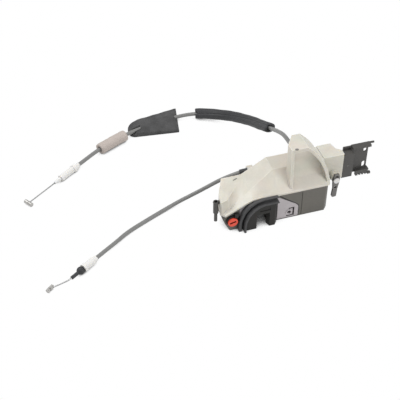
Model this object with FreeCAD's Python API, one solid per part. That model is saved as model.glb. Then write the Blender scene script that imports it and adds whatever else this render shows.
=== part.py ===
import FreeCAD, Part
import math
import os
from FreeCAD import Vector

# Car door lock on its two cables, in millimetres.
# Origin: mouth of the striker slot at the steel face plate, on the surface that the lock lies on.
# +X runs along the lock to its connector, +Y goes back from the face plate, +Z is up.

# Clearances
RUN_FIT = 0.05          # radial, shaft in its bore
GAP = 0.3               # between pieces that move past each other

# Face plate and the frame behind it
PLATE_T = 2.5
PLATE_LEFT = -29.0
PLATE_RIGHT = 49.0
PLATE_TOP = 37.0
PLATE_FOOT = 1.0
PLATE_EDGE_GAP = 0.8
FIXING_X = 37.0
FIXING_Z = 9.5
FIXING_BORE_R = 2.5
FIXING_BOSS_R = 4.4
FIXING_DEPTH = 8.0
SLIT_W = 2.2

FRAME_LEFT = -41.0
FRAME_RIGHT = 90.0
FRAME_TOP = 41.0
FRAME_DEPTH = 27.0
FRAME_WALL = 2.5
SEAM_X = 53.0
SEAM_W = 0.8
SEAM_DEPTH = 0.6
SLOPE_START_X = -13.0
SLOPE_END_X = -48.0
SLOPE_END_Z = 22.0
WEB_FRONT = 11.0
WEB_T = 2.5

# Striker slot, rotor and pawl
SLOT_HALF = 8.5
GUIDE_HALF = 6.3        # where the block's guides meet the plate
SLOT_TOP = 22.0
POCKET_DEPTH = 20.0
POCKET_WALL = 2.0
ROTOR_X = 14.0
ROTOR_Z = 25.0
ROTOR_R = 22.5
ROTOR_PIN_R = 4.0
ROTOR_CORE_T = 3.6
ROTOR_COAT_T = 0.9
ROTOR_OPEN = 40.0
MOUTH_W = 10.0
MOUTH_X = 0.0
MOUTH_Z = 16.2
MOUTH_TILT = 10.0
PAWL_X = -20.0
PAWL_Z = 12.0
PAWL_PIN_R = 3.0
PAWL_TIP_R = 2.0
PAWL_T = 4.0
ROTOR_TIP_R = 2.6
LATCH_Y = 3.0           # front of the rotor
BACK_PLATE_T = 2.0
TAIL_R = 2.1            # thin ends that carry the springs
SPRING_WIRE_R = 0.55

# Release lever and the pawl's arm, both behind the web
ARM_Y = 15.0
ARM_T = 3.0
ARM_TIP_X = -31.0
ARM_TIP_Z = 15.2
ARM_TIP_R = 2.0
RELEASE_X = -20.0
RELEASE_Z = 28.5
RELEASE_Y = 19.0
RELEASE_T = 3.0
RELEASE_PIN_R = 2.5
RELEASE_HUB_R = 4.5
RELEASE_END_X = 14.0
RELEASE_END_Z = 33.5
RELEASE_END_R = 3.5
RELEASE_TAB_X = -30.0

# Screws through the lid into the frame
SCREW_R = 1.5
SCREW_BOSS_R = 3.4
SCREW_LENGTH = 11.0
SCREW_RIGHT = FRAME_RIGHT - 9.0
SCREW_HIGH = FRAME_TOP - 6.5
SCREW_PLACES = [(-37.5, 5.5), (28.0, 5.5), (SCREW_RIGHT, 5.5), (SCREW_RIGHT, SCREW_HIGH), (30.0, SCREW_HIGH)]

# Fishmouth block and its seal
BLOCK_DEPTH = 7.0
BLOCK_TOP = 37.0
BLOCK_RIGHT = 21.0
SEAL_BAND = 9.5
SEAL_BASE = 2.5
SEAL_OUTER_LIP = 6.5
SEAL_INNER_LIP = 10.7
SEAL_GROOVE = 1.3

# Child lock
KNOB_X = -38.5
KNOB_Z = 16.0
KNOB_R = 6.3
KNOB_HEAD = 4.5
KNOB_SHAFT_R = 3.5
KNOB_SLOT_L = 8.2
KNOB_SLOT_W = 2.4
KNOB_SLOT_TURN = 14.0
COLLAR_R = 8.0

# Splash cover
COVER_WALL = 2.0
COVER_FRONT = -1.5
COVER_BACK = 46.0
COVER_FOOT = 41.4
COVER_LIP = 2.6
RIDGE_Y = 22.0
COVER_TOP = 66.0
LOW_TOP = 46.0
COVER_END = FRAME_RIGHT - 2.0
COVER_BACK_FOOT = 24.0
FUNNEL_LEFT = 36.5
FUNNEL_TOP = 104.0
FUNNEL_BACK = 33.0
FIN_T = 3.5
RIM_T = 4.0
PANEL_R = 25.0

# Actuator case, gears and motor
CASE_LENGTH = 27.9
CASE_LEFT = FRAME_RIGHT - 1.4
CASE_RIGHT = CASE_LEFT + CASE_LENGTH
CASE_BEVEL = 9.0
CASE_FRONT = 22.0
CASE_BACK = 47.5
CASE_FOOT = 28.0
CASE_WALL = 2.0
MODULE = 0.8
PINION_TEETH = 10
WHEEL_TEETH = 30
GEAR_T = 4.0
GEAR_Y = 39.6
WHEEL_X = CASE_LEFT - 5.6
WHEEL_Z = COVER_TOP - COVER_WALL - 0.2 - MODULE * (WHEEL_TEETH + 2) / 2
WHEEL_PIN_R = 2.0
MOTOR_R = 8.0
MOTOR_SHAFT_R = 1.0
CRANK_R = 4.0
CRANK_PIN_R = 1.5
LOCK_TURN = 30.0
PINION_X = WHEEL_X + MODULE * (WHEEL_TEETH + PINION_TEETH) / 2
CRANK_X = WHEEL_X + CRANK_R * math.sin(math.radians(LOCK_TURN / 2))
CRANK_Z = WHEEL_Z - CRANK_R * math.cos(math.radians(LOCK_TURN / 2))

# Lid and tray behind the frame
LID_GAP = 0.05
LID_T = 2.2
TRAY_LEFT = -26.0
TRAY_RIGHT = FRAME_RIGHT - 4.0
TRAY_BACK = 43.4
TRAY_FOOT = 24.5
TRAY_TOP = WHEEL_Z - MODULE * (WHEEL_TEETH + 2) / 2 - 0.2

# Connector and its bracket
SOCKET_RIGHT = CASE_RIGHT + 14.5
SOCKET_FRONT = 24.0
SOCKET_BACK = 34.0
SOCKET_FOOT = 25.0
SOCKET_TOP = 62.0
SOCKET_WALL = 1.6
PIN_COUNT = 6
BRACKET_T = 2.0
BRACKET_RIGHT = SOCKET_RIGHT + 24.0
BRACKET_FOOT = 22.0
BRACKET_TOP = 66.0
BRACKET_SLOT_R = 2.3
BRACKET_SLOT_L = 9.5
BRACKET_SLOT_ZS = (32.5, 57.5)

# Outside release lever
LEVER_X = CASE_LEFT + 13.4
LEVER_Z = 38.0
LEVER_Y = 8.0
LEVER_T = 3.0
LEVER_PIN_R = 2.5

# Lock lever with the rod socket at its end
LOCK_LEVER_X = -33.0
LOCK_LEVER_Z = 35.3
LOCK_SHAFT_R = 2.0
LOCK_HUB_R = 3.2
LOCK_ARM_T = 2.4
REAR_ARM_Y = 32.5
REAR_ARM_T = 3.0
REAR_ARM_RISE = 5.2
REAR_PIN_R = 1.2
ROD_X = -56.4
ROD_Y = 10.0
ROD_TOP = 43.5
ROD_FOOT = 25.5
ROD_TAIL_FOOT = 12.0
ROD_PIN_Z = 37.5
ROD_PIN_R = 1.5
ROD_TUBE_R = 3.3
ROD_BORE_R = 2.0
ROD_BORE_DEPTH = 4.0

# Slide between the lock wheel and the lock lever
SLIDE_Y = 36.5
SLIDE_T = 2.8
SLIDE_Z = 38.3
SLIDE_H = 3.7
SLIDE_LEFT = -36.2

# Cables
SHEATH_R = 2.6
SHEATH_2_R = 2.5
WIRE_R = 0.8
SLEEVE_R = 7.4
FOAM_R = 7.2
BARREL_R = 2.6
BARREL_L = 12.0
CORD_SHARE = 0.45

CABLE_1_ROUTE = [
    (43.4, 27.0, 96.4), (44.6, 46.0, 93.4), (45.1, 64.0, 86.0), (45.9, 90.0, 71.5), (45.0, 126.0, 52.0),
    (40.5, 165.5, 33.0), (30.5, 198.0, 17.8), (11.7, 221.2, 9.6), (-9.5, 231.5, 8.0), (-28.0, 236.6, 5.8),
    (-48.0, 235.6, 5.2), (-72.0, 231.7, 5.2), (-96.5, 225.0, 5.6), (-121.0, 215.2, 7.4),
    (-144.0, 203.9, 7.4), (-165.0, 192.9, 7.4), (-180.9, 182.9, 6.1), (-194.9, 173.3, 5.6)]
CABLE_2_ROUTE = [
    (-10.1, 54.1, 42.5), (-28.9, 58.6, 35.0), (-53.2, 63.5, 19.5), (-70.0, 66.2, 10.0),
    (-87.0, 65.2, 4.6), (-107.0, 58.4, 2.6), (-135.1, 45.6, 2.6), (-163.4, 31.9, 2.6),
    (-181.5, 17.5, 3.8), (-199.1, 4.2, 5.8), (-210.8, -3.5, 5.6)]
CABLE_1_END = (-270.7, 121.1, 3.0)
CABLE_2_END = (-272.2, -33.3, 3.0)
FITTING_1_SHAPE = [(0.0, 5.0, 3.8, 3.8), (5.0, 11.0, 5.0, 5.0), (11.0, 30.0, 4.2, 4.2),
                   (30.0, 34.0, 4.5, 4.5),
                   (34.0, 40.0, 2.6, 2.6), (40.0, 45.0, 2.6, 1.6)]
FITTING_2_SHAPE = [(0.0, 4.0, 3.6, 3.6), (4.0, 18.0, 4.4, 4.4), (18.0, 22.0, 5.2, 5.2)]
BOOT_2_R = 5.0
BOOT_2_END = 41.0
BOOT_2_NOZZLE_R = 2.2
WIRE_HIDDEN = 14.0
SLEEVE_1_SPAN = (74.0, 244.0)
FOAM_1_SPAN = (360.5, 403.0)
PAD_1_CORNERS = [(-97.9, 248.4), (-35.7, 258.9), (-44.9, 207.7), (-104.0, 213.7), (-108.5, 233.1)]
PAD_1_TOP = 9.3

os.makedirs("parts", exist_ok=True)


def save(name, shape):
    """Write one node, after joining what touches and checking that it is sound."""
    shape = shape.removeSplitter() if len(shape.Solids) == 1 else shape
    if not shape.isValid() or shape.Volume <= 0:
        raise ValueError(name + " is not a sound solid")
    shape.exportStep("parts/" + name + ".step")
    print(name, len(shape.Solids), "solids", round(shape.Volume, 1), "mm3")


def at_plane(plane, level, u, v):
    """A point (u, v) of the plane xz, xy or yz that lies at the given level."""
    if plane == "xz":
        return Vector(u, level, v)
    if plane == "xy":
        return Vector(u, v, level)
    return Vector(level, u, v)


def rounded_wire(plane, level, corners):
    """A closed outline. Each corner is (u, v) or (u, v, radius)."""
    count = len(corners)
    starts = []
    ends = []
    middles = []
    for index, corner in enumerate(corners):
        here = at_plane(plane, level, corner[0], corner[1])
        radius = corner[2] if len(corner) > 2 else 0.0
        before = corners[index - 1]
        after = corners[(index + 1) % count]
        to_before = (at_plane(plane, level, before[0], before[1]) - here).normalize()
        to_after = (at_plane(plane, level, after[0], after[1]) - here).normalize()
        half = to_before.getAngle(to_after) / 2
        if radius <= 0 or half > math.pi / 2 - 0.001:
            starts.append(here)
            ends.append(here)
            middles.append(None)
            continue
        reach = radius / math.tan(half)
        bisector = (to_before + to_after).normalize()
        centre = here + bisector * (radius / math.sin(half))
        starts.append(here + to_before * reach)
        ends.append(here + to_after * reach)
        middles.append(centre - bisector * radius)
    edges = []
    for index in range(count):
        if middles[index] is not None:
            edges.append(Part.Arc(starts[index], middles[index], ends[index]).toShape())
        following = (index + 1) % count
        if ends[index].distanceToPoint(starts[following]) > 1e-6:
            edges.append(Part.LineSegment(ends[index], starts[following]).toShape())
    return Part.Wire(edges)


def prism(plane, corners, start, end):
    """An outline of one plane pushed from start to end along that plane's normal."""
    face = Part.Face(rounded_wire(plane, start, corners))
    return face.extrude(at_plane(plane, end, 0, 0) - at_plane(plane, start, 0, 0))


def block(x0, x1, y0, y1, z0, z1):
    return Part.makeBox(x1 - x0, y1 - y0, z1 - z0, Vector(x0, y0, z0))


def rod(start, end, radius):
    """A cylinder from one point to another."""
    start = Vector(*start)
    end = Vector(*end)
    return Part.makeCylinder(radius, start.distanceToPoint(end), start, end - start)


def tube(start, end, radius, bore):
    return rod(start, end, radius).cut(rod(start, end, bore))


def fuse_all(shapes):
    return shapes[0].multiFuse(shapes[1:]) if len(shapes) > 1 else shapes[0]


def turned(shape, x, z, angle):
    """The shape turned about the axis along +Y at (x, z)."""
    copy = shape.copy()
    copy.rotate(Vector(x, 0, z), Vector(0, 1, 0), angle)
    return copy


def arm(start, start_r, end, end_r, front, back):
    """A flat arm in an XZ plane: two round ends with straight sides that touch both."""
    x0, z0 = start
    x1, z1 = end
    heading = math.atan2(z1 - z0, x1 - x0)
    lean = math.acos((start_r - end_r) / math.hypot(x1 - x0, z1 - z0))
    corners = []
    for x, z, radius, side in ((x0, z0, start_r, 1), (x1, z1, end_r, 1), (x1, z1, end_r, -1),
                               (x0, z0, start_r, -1)):
        angle = heading + side * lean
        corners.append((x + radius * math.cos(angle), z + radius * math.sin(angle)))
    return fuse_all([prism("xz", corners, front, back), rod((x0, front, z0), (x0, back, z0), start_r),
                     rod((x1, front, z1), (x1, back, z1), end_r)])


def inset_outline(corners, insets):
    """A polygon with each edge moved inwards by its own amount. Edge i starts at corner i."""
    count = len(corners)
    area = sum(corners[i][0] * corners[(i + 1) % count][1] - corners[(i + 1) % count][0] * corners[i][1]
               for i in range(count))
    side = 1.0 if area > 0 else -1.0
    lines = []
    for index in range(count):
        x0, y0 = corners[index]
        x1, y1 = corners[(index + 1) % count]
        length = math.hypot(x1 - x0, y1 - y0)
        normal = (-(y1 - y0) / length * side, (x1 - x0) / length * side)
        lines.append((x0 + normal[0] * insets[index], y0 + normal[1] * insets[index], x1 - x0, y1 - y0))
    result = []
    for index in range(count):
        ax, ay, adx, ady = lines[index - 1]
        bx, by, bdx, bdy = lines[index]
        cross = adx * bdy - ady * bdx
        if abs(cross) < 1e-9:
            result.append((bx, by))
            continue
        along = ((bx - ax) * bdy - (by - ay) * bdx) / cross
        result.append((ax + adx * along, ay + ady * along))
    return result


def path_edges(route, label="", share=CORD_SHARE):
    """Straight runs joined by tangent arcs, as a list of edges."""
    points = [Vector(*p) for p in route]
    edges = []
    start = points[0]
    radii = []
    for index in range(1, len(points) - 1):
        here = points[index]
        back = points[index - 1] - here
        ahead = points[index + 1] - here
        turn = math.pi - back.getAngle(ahead)
        shorter = min(back.Length, ahead.Length)
        reach = share * shorter
        radius = reach / math.tan(turn / 2)
        radii.append(round(radius))
        back.normalize()
        ahead.normalize()
        arc_start = here + back * reach
        arc_end = here + ahead * reach
        inward = (back + ahead).normalize()
        depth = radius / math.cos(turn / 2) - radius
        edges.append(Part.LineSegment(start, arc_start).toShape())
        edges.append(Part.Arc(arc_start, here + inward * depth, arc_end).toShape())
        start = arc_end
    edges.append(Part.LineSegment(start, points[-1]).toShape())
    if label:
        print(label, "radii", radii, "length", round(sum(edge.Length for edge in edges), 1))
    return edges


def pipe(edges, radius, bore=0.0):
    """A round tube along the edges, hollow where a bore is given."""
    path = Part.Wire(edges)
    first = edges[0].valueAt(edges[0].FirstParameter)
    heading = edges[0].tangentAt(edges[0].FirstParameter)
    solid = path.makePipe(Part.Face(Part.Wire([Part.Circle(first, heading, radius).toShape()])))
    if bore > 0:
        solid = solid.cut(path.makePipe(Part.Face(Part.Wire([Part.Circle(first, heading, bore).toShape()]))))
    section = math.pi * (radius ** 2 - bore ** 2)
    length = sum(edge.Length for edge in edges)
    if abs(solid.Volume - section * length) > 0.01 * section * length:
        raise ValueError("a tube's volume differs from its section times its length")
    return solid


# Frame

def frame_outline(inset=0.0):
    outline = [(FRAME_LEFT, 0.0), (FRAME_RIGHT, 0.0), (FRAME_RIGHT, FRAME_TOP), (SLOPE_START_X, FRAME_TOP),
               (SLOPE_END_X, SLOPE_END_Z), (-50.0, 19.0), (-47.0, 11.0)]
    return inset_outline(outline, [inset] * len(outline)) if inset else outline


def plate_outline(grow=0.0):
    outline = [(PLATE_LEFT, PLATE_FOOT), (PLATE_RIGHT, PLATE_FOOT), (PLATE_RIGHT, 17.0), (45.5, 21.0),
               (22.5, PLATE_TOP), (-22.0, PLATE_TOP), (PLATE_LEFT, 30.0)]
    if grow:
        outline = inset_outline(outline, [-grow] * len(outline))
    radii = [0.5, 0.5, 2.0, 3.0, 1.0, 1.0, 1.0]
    return [(x, z, r) for (x, z), r in zip(outline, radii)]


def slot_outline(half, top, foot=-1.0, radius=2.0):
    return [(-half, foot), (half, foot), (half, top, radius), (-half, top, radius)]


def make_frame():
    body = prism("xz", frame_outline(), 0.0, FRAME_DEPTH)
    corner = [(FRAME_RIGHT - 6.0, -1.0), (FRAME_RIGHT + 1.0, -1.0), (FRAME_RIGHT + 1.0, 7.0)]
    body = body.cut(prism("xy", corner, -1.0, FRAME_TOP + 1.0))
    pocket = prism("xz", plate_outline(PLATE_EDGE_GAP), -1.0, PLATE_T)
    latch_room = prism("xz", plate_outline(-1.8), 0.0, WEB_FRONT)
    swing_room = rod((ROTOR_X, PLATE_T, ROTOR_Z), (ROTOR_X, WEB_FRONT, ROTOR_Z), ROTOR_R + GAP)
    swing_room = swing_room.common(block(-60, 60, 0, WEB_FRONT, 0, PLATE_TOP + PLATE_EDGE_GAP))
    body = body.cut(pocket).cut(latch_room).cut(swing_room)
    rear = prism("xz", frame_outline(FRAME_WALL), WEB_FRONT + WEB_T, FRAME_DEPTH + 1.0)
    right_room = block(PLATE_RIGHT + 4.0, FRAME_RIGHT - FRAME_WALL - 4.0, FRAME_WALL, FRAME_DEPTH,
                       FRAME_WALL, FRAME_TOP - FRAME_WALL)
    seam = block(SEAM_X, SEAM_X + SEAM_W, -1.0, SEAM_DEPTH, -1.0, FRAME_TOP + 1.0)
    body = body.cut(rear).cut(right_room).cut(seam)
    outer = prism("xz", slot_outline(SLOT_HALF + POCKET_WALL, SLOT_TOP + POCKET_WALL, 0.0),
                  WEB_FRONT, POCKET_DEPTH + POCKET_WALL)
    inner = prism("xz", slot_outline(SLOT_HALF, SLOT_TOP), -1.0, POCKET_DEPTH)
    body = body.fuse(outer).cut(inner)
    boss_room = rod((FIXING_X, 0, FIXING_Z), (FIXING_X, FIXING_DEPTH + 0.5, FIXING_Z), FIXING_BOSS_R + 0.4)
    body = body.cut(boss_room)
    knob_boss = rod((KNOB_X, 0, KNOB_Z), (KNOB_X, WEB_FRONT + WEB_T, KNOB_Z), KNOB_SHAFT_R + 2.5)
    knob_bore = rod((KNOB_X, -1, KNOB_Z), (KNOB_X, FRAME_DEPTH, KNOB_Z), KNOB_SHAFT_R + RUN_FIT)
    body = body.fuse(knob_boss).cut(knob_bore)
    spacer = rod((RELEASE_X, WEB_FRONT, RELEASE_Z), (RELEASE_X, RELEASE_Y - GAP, RELEASE_Z),
                 RELEASE_HUB_R - 0.5)
    body = body.fuse(spacer)
    for x, z, radius in ((ROTOR_X, ROTOR_Z, ROTOR_PIN_R), (PAWL_X, PAWL_Z, PAWL_PIN_R + RUN_FIT)):
        body = body.cut(rod((x, 0, z), (x, WEB_FRONT + WEB_T + 0.5, z), radius))
    body = body.cut(rod((RELEASE_X, WEB_FRONT, RELEASE_Z), (RELEASE_X, FRAME_DEPTH, RELEASE_Z),
                        RELEASE_PIN_R))
    lever_slot = block(RELEASE_END_X - 23.0, RELEASE_END_X + 5.0, RELEASE_Y - GAP * 2,
                       RELEASE_Y + RELEASE_T + GAP * 2, FRAME_TOP - FRAME_WALL - 1.0, FRAME_TOP + 1.0)
    body = body.cut(lever_slot)
    for x, z in SCREW_PLACES:
        body = body.fuse(rod((x, WEB_FRONT, z), (x, FRAME_DEPTH, z), SCREW_BOSS_R))
        body = body.cut(rod((x, FRAME_DEPTH - SCREW_LENGTH, z), (x, FRAME_DEPTH + 1, z), SCREW_R))
    return body


def make_face_plate():
    plate = prism("xz", plate_outline(), 0.0, PLATE_T)
    plate = plate.cut(prism("xz", slot_outline(SLOT_HALF - 1.0, SLOT_TOP - 1.0, -1.0, 4.0), -1.0,
                            PLATE_T + 1))
    boss = rod((FIXING_X, -0.6, FIXING_Z), (FIXING_X, FIXING_DEPTH, FIXING_Z), FIXING_BOSS_R)
    plate = plate.fuse(boss)
    plate = plate.cut(rod((FIXING_X, -2, FIXING_Z), (FIXING_X, FIXING_DEPTH + 1, FIXING_Z), FIXING_BORE_R))
    right = FIXING_X + FIXING_BOSS_R
    low = FIXING_Z - FIXING_BOSS_R
    high = FIXING_Z + FIXING_BOSS_R
    near = 0.3
    far = near + SLIT_W
    slit = [(right - 8.0, low - far), (right + far, low - far), (right + far, high + far),
            (right - 5.0, high + far), (right - 5.0, high + near), (right + near, high + near),
            (right + near, low - near), (right - 8.0, low - near)]
    plate = plate.cut(prism("xz", slit, -1.0, PLATE_T + 0.01))
    for x, z, radius in ((ROTOR_X, ROTOR_Z, ROTOR_TIP_R), (PAWL_X, PAWL_Z, PAWL_TIP_R + RUN_FIT)):
        plate = plate.cut(rod((x, -1, z), (x, PLATE_T + 1, z), radius))
    return plate


def make_back_plate():
    outline = [(-27.0, 3.5, 2), (26.5, 3.5, 2), (29.0, 20.0, 4), (24.0, 34.5, 3), (-19.0, 34.5, 3),
               (-27.0, 27.0, 2)]
    back = WEB_FRONT
    plate = prism("xz", outline, back - BACK_PLATE_T, back)
    plate = plate.cut(prism("xz", slot_outline(SLOT_HALF + 0.5, SLOT_TOP + 0.5), 0.0, back + 1))
    for x, z, radius in ((ROTOR_X, ROTOR_Z, ROTOR_PIN_R), (PAWL_X, PAWL_Z, PAWL_PIN_R + RUN_FIT)):
        plate = plate.cut(rod((x, 0, z), (x, back + 1, z), radius))
    return plate


# Rotor, pawl and what they turn on

def rotor_outline_closed(shrink=0.0):
    """The claw as it holds the striker: a disc with a mouth to the left, and a trimmed back."""
    outer = Part.makeCylinder(ROTOR_R - shrink, 1.0, Vector(ROTOR_X, 0, ROTOR_Z), Vector(0, 1, 0))
    keep = prism("xz", [(-12.0, 0.0), (9.0, 0.0), (20.0, 8.0), (26.0 - shrink, 18.0),
                        (26.0 - shrink, 31.0, 6),
                        (17.0, 37.0 - shrink, 4), (3.0, 35.0 - shrink, 6), (-12.0, 30.0 - shrink)], 0.0, 1.0)
    half = MOUTH_W / 2 + shrink
    mouth = prism("xz", [(MOUTH_X - 30.0, MOUTH_Z - half), (MOUTH_X + 5.0, MOUTH_Z - half, 4.0),
                         (MOUTH_X + 5.0, MOUTH_Z + half, 4.0), (MOUTH_X - 30.0, MOUTH_Z + half)], -1.0, 2.0)
    mouth.rotate(Vector(MOUTH_X, 0, MOUTH_Z), Vector(0, 1, 0), -MOUTH_TILT)
    return outer.common(keep).cut(mouth)


def rotor_layer(shrink, start, end):
    layer = rotor_outline_closed(shrink)
    faces = [face for face in layer.Faces
             if abs(face.normalAt(0, 0).y + 1) < 1e-6 and face.CenterOfMass.y < 0.1]
    solid = faces[0].extrude(Vector(0, end - start, 0))
    solid.translate(Vector(0, start, 0))
    return turned(solid, ROTOR_X, ROTOR_Z, -ROTOR_OPEN)


def make_rotor_core():
    core = rotor_layer(1.2, LATCH_Y + ROTOR_COAT_T, LATCH_Y + ROTOR_COAT_T + ROTOR_CORE_T)
    return core.cut(rod((ROTOR_X, 0, ROTOR_Z), (ROTOR_X, 20, ROTOR_Z), ROTOR_PIN_R + RUN_FIT))


def make_rotor_coat():
    whole = rotor_layer(0.0, LATCH_Y, LATCH_Y + 2 * ROTOR_COAT_T + ROTOR_CORE_T)
    core = rotor_layer(1.2, LATCH_Y + ROTOR_COAT_T, LATCH_Y + ROTOR_COAT_T + ROTOR_CORE_T)
    coat = whole.cut(core)
    return coat.cut(rod((ROTOR_X, 0, ROTOR_Z), (ROTOR_X, 20, ROTOR_Z), ROTOR_PIN_R + 2.2))


def make_rotor_pin():
    """Riveted in the face plate. Its thin tail carries the spring."""
    x, z = ROTOR_X, ROTOR_Z
    body_end = WEB_FRONT + WEB_T + 1.0
    return fuse_all([rod((x, 0.0, z), (x, PLATE_T, z), ROTOR_TIP_R),
                     rod((x, PLATE_T, z), (x, body_end, z), ROTOR_PIN_R),
                     rod((x, body_end, z), (x, body_end + 5.5, z), TAIL_R)])


def pawl_tip():
    """Where the pawl's tip rides just outside the rotor's rim."""
    reach = ROTOR_R + GAP
    angle = math.radians(189.0)
    return ROTOR_X + reach * math.cos(angle), ROTOR_Z + reach * math.sin(angle)


def make_pawl():
    tip_x, tip_z = pawl_tip()
    outline = [(PAWL_X - 4.5, PAWL_Z - 5.0, 4.0), (PAWL_X + 4.5, PAWL_Z - 5.0, 4.0),
               (PAWL_X + 4.8, PAWL_Z + 3.0, 2.0),
               (tip_x + 0.6, tip_z - 3.0), (tip_x + 0.6, tip_z + 1.5, 1.0), (tip_x - 5.0, tip_z + 1.5, 1.5),
               (PAWL_X - 4.0, PAWL_Z + 5.0, 3.0)]
    body = prism("xz", outline, LATCH_Y + 0.4, LATCH_Y + 0.4 + PAWL_T)
    sweep = rod((ROTOR_X, 0, ROTOR_Z), (ROTOR_X, 12, ROTOR_Z), ROTOR_R + GAP)
    body = body.cut(sweep)
    return body.cut(rod((PAWL_X, 0, PAWL_Z), (PAWL_X, 20, PAWL_Z), PAWL_PIN_R))


def coil(x, z, y, mean_r, wire_r, turns, leg_length):
    """A torsion spring wound along +Y round a pin, with a straight leg at each end."""
    pitch = 2.1 * wire_r
    helix = Part.makeHelix(pitch, pitch * turns, mean_r)
    ring = Part.Wire([Part.Circle(Vector(mean_r, 0, 0), Vector(0, 1, 0), wire_r).toShape()])
    wound = Part.Wire(helix.Edges).makePipeShell([ring], True, True)
    first = Part.makeCylinder(wire_r, leg_length, Vector(mean_r, 0, 0), Vector(0, -1, 0))
    last = Part.makeCylinder(wire_r, leg_length, Vector(mean_r, 0, pitch * turns), Vector(0, 1, 0))
    spring = fuse_all([wound, first, last])
    spring.rotate(Vector(0, 0, 0), Vector(1, 0, 0), -90.0)
    spring.rotate(Vector(0, 0, 0), Vector(0, 1, 0), -90.0)
    spring.translate(Vector(x, y, z))
    return spring


# Fishmouth block, seal and bumper

def block_outline():
    return [(-20.5, 0.0), (BLOCK_RIGHT - 3.0, 0.0), (BLOCK_RIGHT, 5.5), (BLOCK_RIGHT, BLOCK_TOP - 3.0),
            (BLOCK_RIGHT - 3.0, BLOCK_TOP), (1.0, BLOCK_TOP), (-6.0, 35.0), (-12.0, 31.0), (-17.5, 24.5),
            (-21.0, 15.0), (-21.5, 6.0)]


def make_mouth_block():
    body = prism("xz", block_outline(), -BLOCK_DEPTH, 0.0)
    body = body.cut(prism("xz", slot_outline(SLOT_HALF, SLOT_TOP, -1.0, 1.2), -BLOCK_DEPTH - 1, 1.0))
    bevel = [(BLOCK_RIGHT - 5.5, -BLOCK_DEPTH - 0.1), (BLOCK_RIGHT + 1, -BLOCK_DEPTH - 0.1),
             (BLOCK_RIGHT + 1, -0.5),
             (BLOCK_RIGHT, -0.5)]
    body = body.cut(prism("xy", bevel, -1.0, BLOCK_TOP + 1))
    panel = block(-5.0, 9.0, -BLOCK_DEPTH - 1, -BLOCK_DEPTH + 0.8, 26.5, 31.0)
    body = body.cut(panel)
    for side in (-1, 1):
        wall = side * (SLOT_HALF + 0.1)
        guide = [(wall, 0.4 - BLOCK_DEPTH), (wall, 0.0), (side * GUIDE_HALF, 0.0)]
        body = body.fuse(prism("xy", guide, 0.0, SLOT_TOP - 2.0))
    return body.cut(block(-19.0, -10.5, -4.5, 0.1, 2.5, 20.0)).cut(block(10.5, 18.5, -4.5, 0.1, 5.0, 30.0))


def arch_outline(near, far):
    """The band between two distances outside the block's left side and top."""
    base = block_outline()
    inner = inset_outline(base, [-near] * len(base))
    outer = inset_outline(base, [-far] * len(base))
    left_inner = [inner[10], inner[9], inner[8], inner[7], inner[6], inner[5]]
    left_outer = [outer[10], outer[9], outer[8], outer[7], outer[6], outer[5]]
    return left_inner, left_outer


def seal_band(near, far, top_share, front, back):
    """One layer of the seal. It narrows over the top to top_share of its width."""
    inner, wide = arch_outline(near, far)
    _, narrow = arch_outline(near, near + (far - near) * top_share)
    outer = [wide[0], wide[1], wide[2], wide[3]]
    outer += [((wide[4][0] + narrow[4][0]) / 2, (wide[4][1] + narrow[4][1]) / 2), narrow[5]]
    end = BLOCK_RIGHT - 2.0
    ring = [(inner[0][0], 0.0)] + inner[0:6] + [(end, inner[5][1]), (end, narrow[5][1])]
    ring += list(reversed(outer)) + [(wide[0][0], 0.0)]
    rounded = [(x, z, 2.0) if 2 < index < len(ring) - 3 and index not in (6, 7, 8, 9) else (x, z)
               for index, (x, z) in enumerate(ring)]
    return prism("xz", rounded, front, back)


def make_seal():
    clear = 0.1
    base = seal_band(clear, SEAL_BAND, 0.42, -SEAL_BASE, 0.0)
    outer_lip = seal_band(SEAL_BAND - 3.2, SEAL_BAND, 0.42, -SEAL_OUTER_LIP, -SEAL_BASE)
    inner_lip = seal_band(SEAL_GROOVE, 3.6, 0.42, -SEAL_INNER_LIP, -SEAL_BASE)
    foot = COVER_FOOT - GAP * 3
    cover_lip = [(-12.5, foot), (60.0, foot), (60.0, 70.0), (-53.0, 70.0), (-53.0, foot - 19.9)]
    return fuse_all([base, outer_lip, inner_lip]).cut(prism("xz", cover_lip, COVER_FRONT - GAP, 1.0))


def make_bumper():
    half = SLOT_HALF - 2.2
    outline = [(-half, SLOT_TOP - 0.1), (-half, SLOT_TOP - 2.6, 1.0), (0.0, SLOT_TOP - 3.6),
               (half, SLOT_TOP - 2.6, 1.0),
               (half, SLOT_TOP - 0.1)]
    return prism("xz", outline, WEB_FRONT + 0.2, POCKET_DEPTH - 0.3)


# Child lock

def make_knob():
    head = rod((KNOB_X, -KNOB_HEAD, KNOB_Z), (KNOB_X, -0.2, KNOB_Z), KNOB_R)
    shaft = rod((KNOB_X, -0.2, KNOB_Z), (KNOB_X, 20.0, KNOB_Z), KNOB_SHAFT_R)
    cam = prism("xz", [(KNOB_X - 3.0, KNOB_Z - 3.0, 2.0), (KNOB_X + 3.0, KNOB_Z - 3.0, 2.0),
                       (KNOB_X + 1.6, KNOB_Z + 6.4, 1.5),
                       (KNOB_X - 1.6, KNOB_Z + 6.4, 1.5)], 15.5, 19.0)
    slot = block(KNOB_X - KNOB_SLOT_L / 2, KNOB_X + KNOB_SLOT_L / 2, -KNOB_HEAD - 1, -KNOB_HEAD + 2.4,
                 KNOB_Z - KNOB_SLOT_W / 2, KNOB_Z + KNOB_SLOT_W / 2)
    return fuse_all([head, shaft, cam]).cut(turned(slot, KNOB_X, KNOB_Z, -KNOB_SLOT_TURN))


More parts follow.
